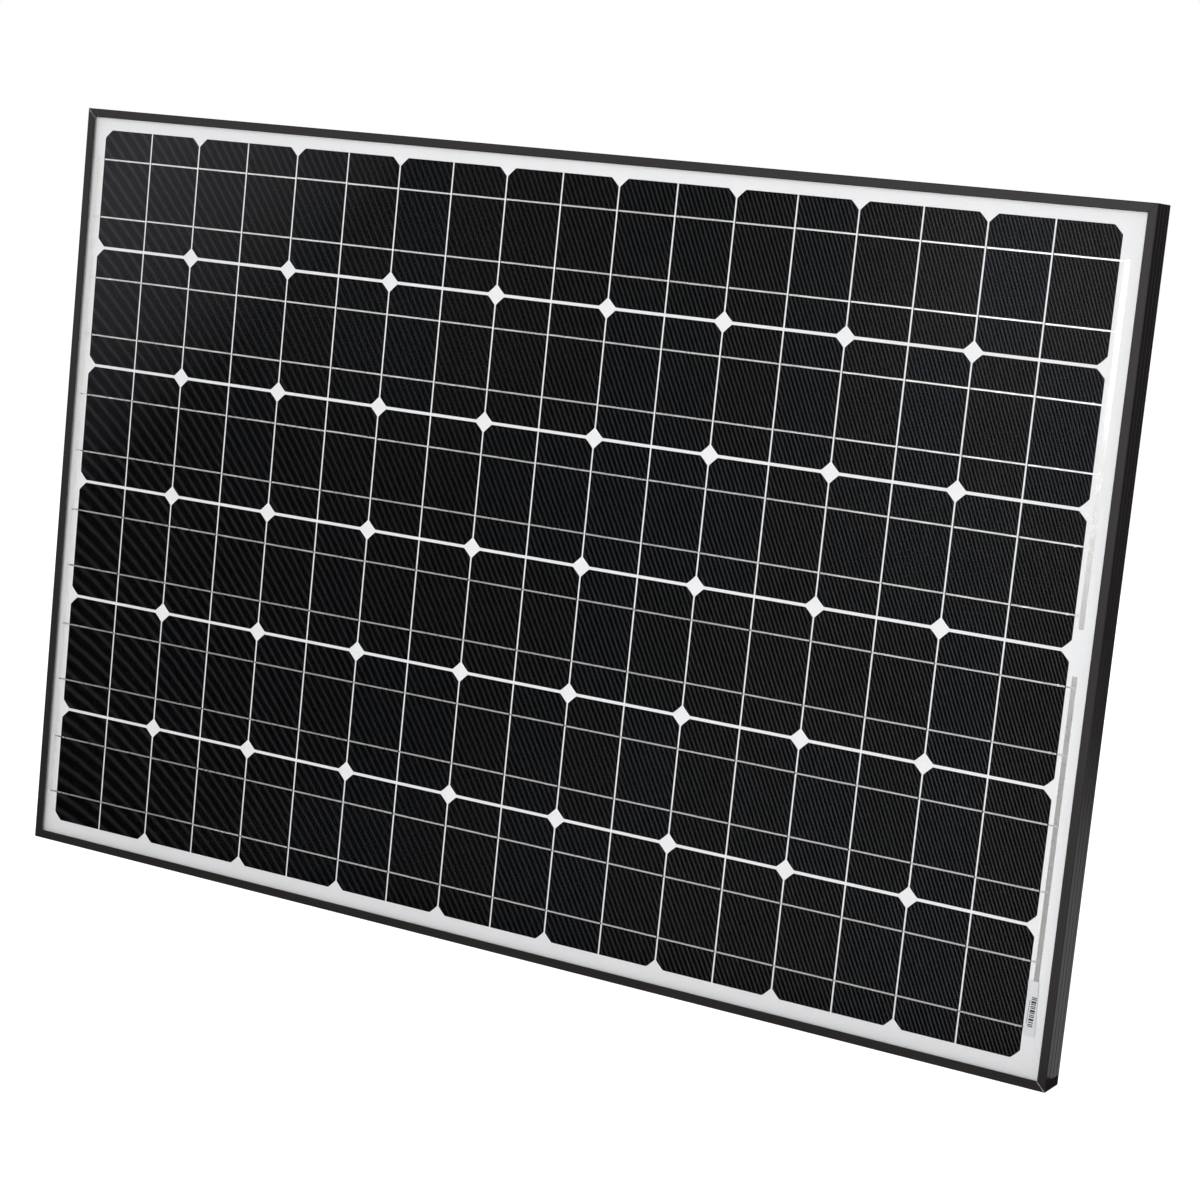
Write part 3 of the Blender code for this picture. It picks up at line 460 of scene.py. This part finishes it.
def tinned_ribbon(name, across, metallic, roughness=0.24):
    """Solder-coated copper, with streaks that lie across an axis and brighter, smoother pools."""
    look = Shading(name)
    stretch = (1, 1, 0.05) if across == "X" else (0.05, 1, 1)
    drawn = look.noise(1400.0, 3.0, stretch)
    pools = look.noise(110.0, 3.0)
    base = look.ramp(drawn, ((0.3, (0.74, 0.72, 0.71)), (0.7, (0.86, 0.845, 0.835))))
    look.set(
        Base_Color=look.blend_colour(look.spread(pools, 0.0, 0.5, 0.5, 0.7), base, (0.93, 0.92, 0.91)),
        Metallic=metallic,
        Roughness=look.spread(pools, roughness + 0.10, roughness),
    )
    look.bump(look.noise(600.0, 3.0, stretch), 0.03 * MM, 0.5)
    return look.material


GLASS_INDEX = 1.45
COAT_POWER = 1.8  # above 1, which leaves the glass fainter than bare glass when seen square on
COAT_GAIN = 1.2


def solar_glass(name):
    """Low-iron glass with an anti-reflective coat: faint when seen square on, mirror-like at a slant."""
    look = Shading(name)
    look.tree.nodes.remove(look.shader)
    clear = look.add("ShaderNodeBsdfTransparent")
    clear.inputs["Color"].default_value = (0.985, 0.99, 0.987, 1.0)
    mirror = look.add("ShaderNodeBsdfAnisotropic")
    mirror.inputs["Color"].default_value = (0.88, 0.91, 1.0, 1.0)
    mirror.inputs["Roughness"].default_value = 0.16
    bump = look.add("ShaderNodeBump")
    bump.inputs["Distance"].default_value = 0.02 * MM
    bump.inputs["Strength"].default_value = 0.25
    look.link(look.noise(700.0, 2.0), bump.inputs["Height"])
    look.link(bump.outputs["Normal"], mirror.inputs["Normal"])
    fresnel = look.add("ShaderNodeFresnel")
    fresnel.inputs["IOR"].default_value = GLASS_INDEX
    steeper = look.maths("POWER", fresnel.outputs["Fac"], COAT_POWER)
    coated = look.maths("MULTIPLY", steeper, COAT_GAIN)
    # Only the outer side mirrors: rays pass the pane unbent, so its inner side mustn't trap them.
    inside = look.add("ShaderNodeNewGeometry").outputs["Backfacing"]
    share = look.maths("MULTIPLY", coated, look.maths("SUBTRACT", 1.0, inside))
    mix = look.add("ShaderNodeMixShader")
    look.link(share, mix.inputs["Fac"])
    look.link(clear.outputs["BSDF"], mix.inputs[1])
    look.link(mirror.outputs["BSDF"], mix.inputs[2])
    look.link(mix.outputs["Shader"], look.output.inputs["Surface"])
    return look.material


def white_film(name):
    """Polyester backsheet: matte white with a faint lavender tint and a fine emboss."""
    look = Shading(name)
    look.set(
        Base_Color=look.ramp(
            look.noise(12.0, 4.0),
            ((0.3, (0.795, 0.780, 0.800)), (0.7, (0.815, 0.800, 0.820))),
        ),
        Roughness=look.spread(look.noise(300.0), 0.42, 0.55),
    )
    look.bump(look.noise(1100.0, 2.0), 0.02 * MM, 0.35)
    return look.material


MATERIALS = {
    "frame_long": anodised_frame("anodised_long", "X"),
    "frame_short": anodised_frame("anodised_short", "Z"),
    "silicon": silicon("silicon_wafer"),
    "silver": printed_silver("printed_silver"),
    "tab": tinned_ribbon("tinned_tab", "Z", 0.75),
    "bus": tinned_ribbon("tinned_bus", "X", 0.92),
    "dull_bus": tinned_ribbon("dull_bus", "X", 0.15, 0.45),
    "glass": solar_glass("solar_glass"),
    "white": white_film("white_film"),
    "aluminium": grained("raw_aluminium", (0.60, 0.61, 0.63), 0.38, 1.0, 700.0),
    "sealant": grained("black_sealant", (0.024, 0.024, 0.026), 0.55, 0.0, 500.0),
    "paper": grained("label_paper", (0.66, 0.66, 0.69), 0.5, 0.0, 2500.0, 0.04),
    "ink": grained("printing_ink", (0.016, 0.016, 0.018), 0.5, 0.0, 2500.0, 0.2),
    "plastic": grained("moulded_black", (0.020, 0.020, 0.022), 0.42, 0.0, 1500.0, 0.15),
    "mark": grained("moulded_mark", (0.10, 0.10, 0.105), 0.5, 0.0, 1500.0, 0.15),
    "rubber": grained("black_rubber", (0.026, 0.026, 0.027), 0.75, 0.0, 1200.0, 0.2),
    "steel": grained("plated_steel", (0.52, 0.52, 0.54), 0.32, 1.0, 1800.0),
    "copper": grained("tinned_copper", (0.60, 0.59, 0.58), 0.33, 0.8, 900.0),
    "diode": grained("diode_body", (0.035, 0.035, 0.040), 0.4, 0.0, 1500.0),
}

# The first name that a node's own name starts with gives its finish.
NODE_FINISH = {
    "frame_rail_top": "frame_long",
    "frame_rail_bottom": "frame_long",
    "frame_rail_left": "frame_short",
    "frame_rail_right": "frame_short",
    "corner_key": "aluminium",
    "edge_seal": "sealant",
    "box_adhesive": "sealant",
    "bus_ribbon_left": "dull_bus",
    "bus_ribbon": "bus",
    "centre_tap_ribbon": "bus",
    "insulation_strip": "white",
    "serial_label": "paper",
    "rating_label": "paper",
    "junction_box": "plastic",
    "gland_body": "plastic",
    "gland_nut": "plastic",
    "gland_seal": "rubber",
    "lid_gasket": "rubber",
    "lid_hinge_pin": "steel",
    "terminal_screw": "steel",
    "terminal_": "copper",
    "spring_clip": "steel",
    "bypass_diode": "diode",
    "front_glass": "glass",
    "front_encapsulant": "glass",
    "rear_encapsulant": "white",
    "backsheet": "white",
    "cell_string": "silicon",
}


def paint_nodes():
    """Gives each node of the frame its finish."""
    for name, node in frame["nodes"].items():
        finish = next(v for k, v in NODE_FINISH.items() if name.startswith(k))
        node.data.materials.clear()
        node.data.materials.append(MATERIALS[finish])


# ---------------------------------------------------------------- cells
def half_left(index):
    """The left side of a half cell, counted from the left."""
    return MATRIX_X - MATRIX_WIDTH / 2 + index * CELL_PITCH


def half_outline(index, middle_z):
    """A half wafer's outline. Its outer side keeps the wafer's round corners."""
    left = half_left(index)
    side = -1 if index % 2 == 0 else 1
    cut_x = left + HALF_WIDTH if side < 0 else left
    half, radius = HALF_WIDTH - WAFER_EDGE, WAFER_RADIUS - WAFER_EDGE
    start = math.acos(half / radius)
    sweep = math.pi / 2 - 2 * start
    arc = [
        (
            cut_x + side * radius * math.cos(start + sweep * i / ARC_STEPS),
            radius * math.sin(start + sweep * i / ARC_STEPS),
        )
        for i in range(ARC_STEPS + 1)
    ]
    upper = [(x, middle_z + z) for x, z in arc]
    lower = [(x, middle_z - z) for x, z in reversed(arc)]
    inner_x = cut_x + side * WAFER_EDGE
    return [*upper, (inner_x, middle_z + half), (inner_x, middle_z - half), *lower]


def add_fingers(mesh_data, index, middle_z):
    """The printed fingers of a half cell, across its busbars and short of its edges."""
    left = half_left(index)
    centre = left + HALF_WIDTH if index % 2 == 0 else left
    count = int((HALF_WIDTH - 2 * FINGER_MARGIN) / FINGER_PITCH)
    first = left + (HALF_WIDTH - count * FINGER_PITCH) / 2
    for k in range(count + 1):
        x = first + k * FINGER_PITCH
        reach = math.sqrt(WAFER_RADIUS**2 - (x - centre) ** 2)
        reach = min(HALF_WIDTH, reach) - FINGER_MARGIN
        half_foot, half_crest = FINGER_WIDTH / 2, FINGER_CREST / 2
        foot = rectangle(x - half_foot, middle_z - reach, x + half_foot, middle_z + reach)
        crest = rectangle(x - half_crest, middle_z - reach, x + half_crest, middle_z + reach)
        near, far = WAFER_FRONT_Y - FINGER_HEIGHT, WAFER_FRONT_Y + FINGER_HEIGHT / 2
        add_layers(mesh_data, ((crest, near), (foot, far)))


def tab_routes():
    """Routes of one busbar's ribbons in (u, y): over a half cell, then behind the next one."""
    over = TAB_FRONT_Y + TAB_THICKNESS / 2
    under = WAFER_BACK_Y + TAB_THICKNESS / 2
    on_bus = over + 0.04 * MM
    tuck = 9 * MM
    start = -MATRIX_WIDTH / 2
    bus_end = BUS_INNER + BUS_WIDTH - 0.6 * MM
    yield [(-bus_end, on_bus), (-BUS_INNER, on_bus), (start - 0.5 * MM, under), (start + tuck, under)]
    for index in range(HALVES):
        left = start + index * CELL_PITCH
        right = left + HALF_WIDTH
        first = left + 1.0 * MM
        span = right - first
        flat = [(first + span * i / TAB_POINTS, over) for i in range(TAB_POINTS)]
        if index == HALVES - 1:
            tail = [(right, over), (BUS_INNER, on_bus), (bus_end, on_bus)]
        else:
            tail = [(right + 0.1 * MM, over), (right + CELL_GAP - 0.1 * MM, under)]
            tail.append((right + CELL_GAP + tuck, under))
        yield [*flat, *tail]


def add_tabs(mesh_data, direction, z, wobble):
    """One busbar's ribbons, each a little off its line. Direction 1 or -1 is the way they run."""
    for route in tab_routes():
        drift, skew = wobble.gauss(0, 0.12 * MM), wobble.gauss(0, 0.10 * MM)
        last = len(route) - 1
        path = []
        for i, (u, y) in enumerate(route):
            wander = wobble.gauss(0, 0.03 * MM)
            twist = wobble.gauss(0, math.radians(1.2))
            path.append((MATRIX_X + direction * u, y, z + drift + skew * i / last + wander, twist))
        add_strip(mesh_data, path, TAB_WIDTH, TAB_THICKNESS)


def build_strings():
    """Each string's wafers, printed fingers and tabs. The wafers take the place of its node."""
    wobble = random.Random(11)
    for row, (node, middle_z) in enumerate(zip(STRINGS, STRING_MIDDLES)):
        wafers, fingers, tabs = bmesh.new(), bmesh.new(), bmesh.new()
        for index in range(HALVES):
            outline = half_outline(index, middle_z)
            add_layers(wafers, ((outline, WAFER_FRONT_Y), (outline, WAFER_BACK_Y)))
            add_fingers(fingers, index, middle_z)
        direction = 1 if row < len(STRINGS) / 2 else -1
        for side in (-1, 1):
            add_tabs(tabs, direction, middle_z + side * BUSBAR_OFFSET, wobble)
        piece = add_piece(f"wafers_{row + 1}", wafers, MATERIALS["silicon"])
        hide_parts(node)
        add_piece(f"fingers_{row + 1}", fingers, MATERIALS["silver"])
        add_piece(f"tabs_{row + 1}", tabs, MATERIALS["tab"])


def build_solder_joints():
    """A flattened pool of solder where each tab crosses a bus ribbon."""
    wobble = random.Random(5)
    solder = bmesh.new()
    for bus in (LEFT_BUS, UPPER_BUS):
        middle_x = (bus[0][0] + bus[1][0]) / 2
        for middle_z in STRING_MIDDLES:
            for side in (-1, 1):
                z = middle_z + side * BUSBAR_OFFSET + wobble.gauss(0, 0.2 * MM)
                centre = (middle_x + wobble.gauss(0, 0.3 * MM), bus[0][1] + 0.02 * MM, z)
                reach = (wobble.uniform(1.7, 2.2) * MM, wobble.uniform(1.3, 1.9) * MM)
                add_dome(solder, centre, reach, 0.24 * MM, wobble)
    add_piece("solder_joints", solder, MATERIALS["dull_bus"], smooth=True)


# ---------------------------------------------------------------- glass and white films
def build_glass():
    """The glass pane with ground edges. It stands for the clear film bonded behind it as well."""
    low, high = GLASS
    arris = 0.6 * MM
    full = rectangle(low[0], low[2], high[0], high[2])
    ground = rectangle(low[0], low[2], high[0], high[2], arris)
    mesh_data = bmesh.new()
    add_layers(
        mesh_data,
        ((ground, low[1]), (full, low[1] + arris), (full, high[1] - arris), (ground, high[1])),
    )
    pane = add_piece("glass_pane", mesh_data, MATERIALS["glass"])
    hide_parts("front_glass", "front_encapsulant")


def build_backing():
    """White film close behind the cells, and the backsheet with the cells showing through it."""
    window = rectangle(
        WINDOW_X - WINDOW_WIDTH / 2,
        MIDDLE_Z - WINDOW_HEIGHT / 2,
        WINDOW_X + WINDOW_WIDTH / 2,
        MIDDLE_Z + WINDOW_HEIGHT / 2,
    )
    backing = bmesh.new()
    low, high = REAR_FILM
    add_sheet_with_window(backing, low, high, BACKING_FRONT_Y, high[1], window)
    piece = add_piece("white_backing", backing, MATERIALS["white"])
    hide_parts("rear_encapsulant")

    sheet = bmesh.new()
    low, high = BACKSHEET
    add_sheet_with_window(sheet, low, high, low[1], high[1], window)
    relief, slope = 0.04 * MM, 1.2 * MM
    for middle_z in STRING_MIDDLES:
        bottom, top = middle_z - HALF_WIDTH, middle_z + HALF_WIDTH
        beside_window = abs(middle_z - MIDDLE_Z) < WAFER_SIZE
        for index in range(HALVES):
            left = half_left(index)
            right = left + HALF_WIDTH
            if beside_window and right > window[0][0]:
                continue
            foot = rectangle(left, bottom, right, top)
            crown = rectangle(left, bottom, right, top, slope)
            add_layers(sheet, ((foot, high[1] - relief), (foot, high[1]), (crown, high[1] + relief)))
    piece = add_piece("embossed_backsheet", sheet, MATERIALS["white"])
    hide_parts("backsheet")


# ---------------------------------------------------------------- labels
SERIAL_TILT = math.radians(-2.5)
PRINT_THICKNESS = 0.02 * MM


def print_blocks(name, blocks, surface_y, facing, centre, angle=0.0):
    """Flat ink blocks on a label. Each is (x, z, width, height) from the label's middle."""
    mesh_data = bmesh.new()
    for x, z, width, height in blocks:
        low_x, low_z = centre[0] + x - width / 2, centre[1] + z - height / 2
        outline = list(turned(rectangle(low_x, low_z, low_x + width, low_z + height), centre, angle))
        near, far = surface_y - facing * PRINT_THICKNESS / 2, surface_y + facing * PRINT_THICKNESS
        add_layers(mesh_data, ((outline, near), (outline, far)))
    add_piece(name, mesh_data, MATERIALS["ink"])


def stripes(pattern, start, length, narrow, wide, gap):
    """Places and widths of a made-up row of bars."""
    at = start
    while at < start + length:
        width = pattern.choice((narrow, narrow, wide))
        yield at + width / 2, width
        at += width + pattern.choice((gap, gap * 1.8))


def build_label_print():
    """Generic bars and blocks, which spell nothing."""
    pattern = random.Random(23)
    low, high = SERIAL_LABEL
    centre = ((low[0] + high[0]) / 2, (low[2] + high[2]) / 2)
    bars = [
        (1.3 * MM, z, 4.8 * MM, height)
        for z, height in stripes(pattern, -17 * MM, 28 * MM, 1.0 * MM, 2.0 * MM, 0.6 * MM)
    ]
    dashes = [
        (-2.6 * MM, z, 0.9 * MM, height)
        for z, height in stripes(pattern, -14 * MM, 22 * MM, 0.5 * MM, 0.8 * MM, 0.5 * MM)
    ]
    print_blocks("serial_label_print", bars + dashes, low[1], -1, centre, SERIAL_TILT)

    low, high = RATING_LABEL
    centre = ((low[0] + high[0]) / 2, (low[2] + high[2]) / 2)
    width, height = high[0] - low[0], high[2] - low[2]
    rules = [(0.0, z * MM, width - 8 * MM, 0.25 * MM) for z in range(-16, 21, 6)]
    rules.append((0.0, height / 2 - 4 * MM, width - 8 * MM, 0.6 * MM))
    entries = []
    for line in range(-13, 21, 6):
        for column, longest in ((34, 26), (-10, 14), (-32, 10)):
            length = pattern.uniform(0.5, 1.0) * longest * MM
            entries.append((column * MM, line * MM, length, 1.3 * MM))
    bars = [
        (x, -height / 2 + 9 * MM, bar, 8 * MM)
        for x, bar in stripes(pattern, -42 * MM, 50 * MM, 0.5 * MM, 1.1 * MM, 0.7 * MM)
    ]
    print_blocks("rating_label_print", rules + entries + bars, high[1], 1, centre)


# ---------------------------------------------------------------- junction box
def soften(node, width):
    """Stands for a moulded node with a copy whose sharp edges are rounded."""
    mesh_data = bmesh.new()
    mesh_data.from_mesh(frame["nodes"][node].data)
    bmesh.ops.remove_doubles(mesh_data, verts=mesh_data.verts, dist=0.002 * MM)
    bmesh.ops.dissolve_limit(
        mesh_data, angle_limit=math.radians(1), verts=mesh_data.verts, edges=mesh_data.edges
    )
    piece = add_piece(
        f"moulded_{node}", mesh_data, MATERIALS["plastic"], BODY_OF[node]
    )
    bevel = piece.modifiers.new("soft_edges", "BEVEL")
    bevel.width = width
    bevel.segments = 2
    bevel.limit_method = "ANGLE"
    bevel.angle_limit = math.radians(40)
    bevel.use_clamp_overlap = True
    piece.data.shade_smooth()
    piece.data.set_sharp_from_angle(angle=math.radians(50))
    flats = piece.modifiers.new("flat_faces", "WEIGHTED_NORMAL")
    flats.keep_sharp = True
    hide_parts(node)


def add_lid_relief():
    """A raised field on the lid with three ribs, and a plus and a minus by the two glands."""
    top = BOX_LID[1][1]
    left, right = BOX_BASE[0][0] + 12 * MM, BOX_BASE[1][0] - 12 * MM
    bottom, upper = BOX_BASE[0][2] + 14 * MM, BOX_LID[1][2] - 22 * MM
    sides = (left, bottom, right, upper)
    field, crown = rectangle(*sides), rectangle(*sides, 0.6 * MM)
    mesh_data = bmesh.new()
    add_layers(mesh_data, ((field, top - 0.3 * MM), (field, top), (crown, top + 0.5 * MM)))
    step = (upper - bottom) / 8
    for k in (-1, 0, 1):
        z = (bottom + upper) / 2 + k * step
        foot = (left + 8 * MM, z - 1.0 * MM, right - 8 * MM, z + 1.0 * MM)
        rib, ridge = rectangle(*foot), rectangle(*foot, 0.4 * MM)
        add_layers(mesh_data, ((rib, top + 0.3 * MM), (rib, top + 0.6 * MM), (ridge, top + 1.0 * MM)))
    add_piece("lid_relief", mesh_data, MATERIALS["plastic"], "box_lid")

    marks = bmesh.new()
    reach, thick = 3.0 * MM, 0.9 * MM
    for node in ("gland_body_positive", "gland_body_negative"):
        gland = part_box(node)
        x, z = BOX_BASE[0][0] + 6.0 * MM, (gland[0][2] + gland[1][2]) / 2
        strokes = [(x - reach, z - thick / 2, x + reach, z + thick / 2)]
        if node.endswith("positive"):
            strokes.append((x - thick / 2, z + thick / 2, x + thick / 2, z + reach))
            strokes.append((x - thick / 2, z - reach, x + thick / 2, z - thick / 2))
        for stroke in strokes:
            outline = rectangle(*stroke)
            add_layers(marks, ((outline, top - 0.3 * MM), (outline, top + 0.4 * MM)))
    add_piece("polarity_marks", marks, MATERIALS["mark"], "box_lid")


def add_diode_bands():
    """The silver ring near one end of each diode's body, which marks its cathode."""
    sides = 32
    turns = [(math.cos(t), math.sin(t)) for t in (2 * math.pi * i / sides for i in range(sides))]
    bands = bmesh.new()
    for node in ("bypass_diode_1", "bypass_diode_2"):
        low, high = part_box(node)
        x, y = (low[0] + high[0]) / 2, (low[1] + high[1]) / 2
        radius = (high[0] - low[0]) / 2 + 0.05 * MM
        z = (low[2] + high[2]) / 2 + 1.9 * MM
        rings = [
            [bands.verts.new((x + radius * u, y + radius * v, edge)) for u, v in turns]
            for edge in (z - 0.6 * MM, z + 0.6 * MM)
        ]
        join_rings(bands, rings)
    add_piece("diode_bands", bands, MATERIALS["steel"], smooth=True)


def build_junction_box():
    """Rounded copies of the moulded nodes, with the lid's relief and the diodes' bands."""
    soften("junction_box_base", 0.5 * MM)
    soften("junction_box_lid", 0.4 * MM)
    for name in ("positive", "negative"):
        soften(f"gland_body_{name}", 0.3 * MM)
        soften(f"gland_nut_{name}", 0.3 * MM)
    add_lid_relief()
    add_diode_bands()


# ---------------------------------------------------------------- camera, light and floor
CAMERA_PLACE = (1.3625, -2.3513, 0.7453)
CAMERA_AZIMUTH = math.radians(28.640)
CAMERA_PITCH = math.radians(-7.899)
CAMERA_ROLL = math.radians(5.837)
CAMERA_LENS = 81.96


def build_camera():
    """The photo's own view, from off the panel's right end and a little above, with some roll."""
    data = bpy.data.cameras.new("camera")
    data.lens = CAMERA_LENS
    data.sensor_width = 36.0
    camera = bpy.data.objects.new("camera", data)
    camera.matrix_world = (
        Matrix.Translation(CAMERA_PLACE)
        @ Matrix.Rotation(CAMERA_AZIMUTH, 4, "Z")
        @ Matrix.Rotation(math.pi / 2 + CAMERA_PITCH, 4, "X")
        @ Matrix.Rotation(CAMERA_ROLL, 4, "Z")
    )
    bpy.context.scene.collection.objects.link(camera)
    bpy.context.scene.camera = camera


def soft_light(name, place, aim, size, radiance, glossy=True, diffuse=True):
    """A rectangular light that the camera doesn't see, and that gloss or matte surfaces can miss."""
    data = bpy.data.lights.new(name, "AREA")
    data.shape = "RECTANGLE"
    data.size, data.size_y = size
    data.energy = radiance * math.pi * size[0] * size[1]
    light = bpy.data.objects.new(name, data)
    light.location = place
    light.rotation_euler = (Vector(aim) - Vector(place)).to_track_quat("-Z", "Y").to_euler()
    light.visible_camera = False
    light.visible_glossy = glossy
    light.visible_diffuse = diffuse
    bpy.context.scene.collection.objects.link(light)


def build_world():
    """White for the camera, a soft fill for matte surfaces, and dark where gloss would mirror it."""
    world = bpy.data.worlds.new("studio")
    world.use_nodes = True
    bpy.context.scene.world = world
    tree = world.node_tree
    backdrop = tree.nodes["Background"]
    backdrop.inputs["Color"].default_value = (1.0, 1.0, 1.0, 1.0)
    fill = tree.nodes.new("ShaderNodeBackground")
    fill.inputs["Color"].default_value = (0.34, 0.34, 0.34, 1.0)
    dark = tree.nodes.new("ShaderNodeBackground")
    dark.inputs["Color"].default_value = (0.02, 0.02, 0.02, 1.0)
    rays = tree.nodes.new("ShaderNodeLightPath")
    indirect = tree.nodes.new("ShaderNodeMixShader")
    tree.links.new(rays.outputs["Is Glossy Ray"], indirect.inputs["Fac"])
    tree.links.new(fill.outputs["Background"], indirect.inputs[1])
    tree.links.new(dark.outputs["Background"], indirect.inputs[2])
    seen = tree.nodes.new("ShaderNodeMixShader")
    tree.links.new(rays.outputs["Is Camera Ray"], seen.inputs["Fac"])
    tree.links.new(indirect.outputs["Shader"], seen.inputs[1])
    tree.links.new(backdrop.outputs["Background"], seen.inputs[2])
    tree.links.new(seen.outputs["Shader"], tree.nodes["World Output"].inputs["Surface"])


def build_floor():
    """A pale floor that the camera sees as white as the backdrop."""
    bpy.ops.mesh.primitive_plane_add(size=60.0, location=(0.0, 0.0, PANEL_LOW.z - 0.5 * MM))
    floor = bpy.context.object
    floor.name = "floor"
    look = Shading("pale_floor")
    rays = look.add("ShaderNodeLightPath")
    look.set(
        Base_Color=(0.30, 0.30, 0.30),
        Roughness=0.9,
        Specular_IOR_Level=0.0,
        Emission_Color=(1.0, 1.0, 1.0),
        Emission_Strength=look.spread(rays.outputs["Is Camera Ray"], 0.24, 1.0, 0.0, 1.0),
    )
    floor.data.materials.append(look.material)
    floor.visible_glossy = False


def build_studio():
    """Backdrop, floor and lights. A light's numbers are its place, its aim, its size and radiance."""
    bpy.context.scene.view_settings.view_transform = "Standard"
    build_world()
    build_floor()
    soft_light("fill", (0.5, -2.9, 0.15), (0.0, 0.0, 0.25), (2.0, 2.0), 3.75, glossy=False)
    soft_light("left_box", (-3.05, -2.5, 1.42), (-3.05, 0.0, 1.42), (3.1, 2.15), 1.05)
    soft_light("front_box", (0.72, -2.5, 1.15), (0.72, 0.0, 1.15), (2.95, 2.1), 1.1)
    soft_light("front_glow", (-0.15, -2.45, 1.05), (-0.15, 0.0, 1.05), (1.1, 1.0), 1.8)
    soft_light("right_box", (3.45, -0.93, 0.8), (0.6, 0.0, 0.5), (0.8, 1.6), 1.5)
    soft_light("front_floor", (0.35, -0.85, 0.01), (0.35, -0.85, 1.0), (1.7, 1.5), 0.35)
    soft_light("side_floor", (0.95, 0.6, 0.01), (0.95, 0.6, 1.0), (0.7, 1.2), 0.6)
    soft_light("rear_box", (-0.9, 3.2, 1.9), (0.0, 0.0, 0.4), (2.6, 2.4), 5.0)
    for name, side in (("left_end", -1), ("right_end", 1)):
        place, aim = (side * 4.2, 0.1, 0.9), (side * 0.6, 0.0, 0.4)
        soft_light(name, place, aim, (1.6, 1.3), 1.2, diffuse=False)


build_camera()
build_studio()
paint_nodes()
build_strings()
build_solder_joints()
build_glass()
build_backing()
build_label_print()
build_junction_box()
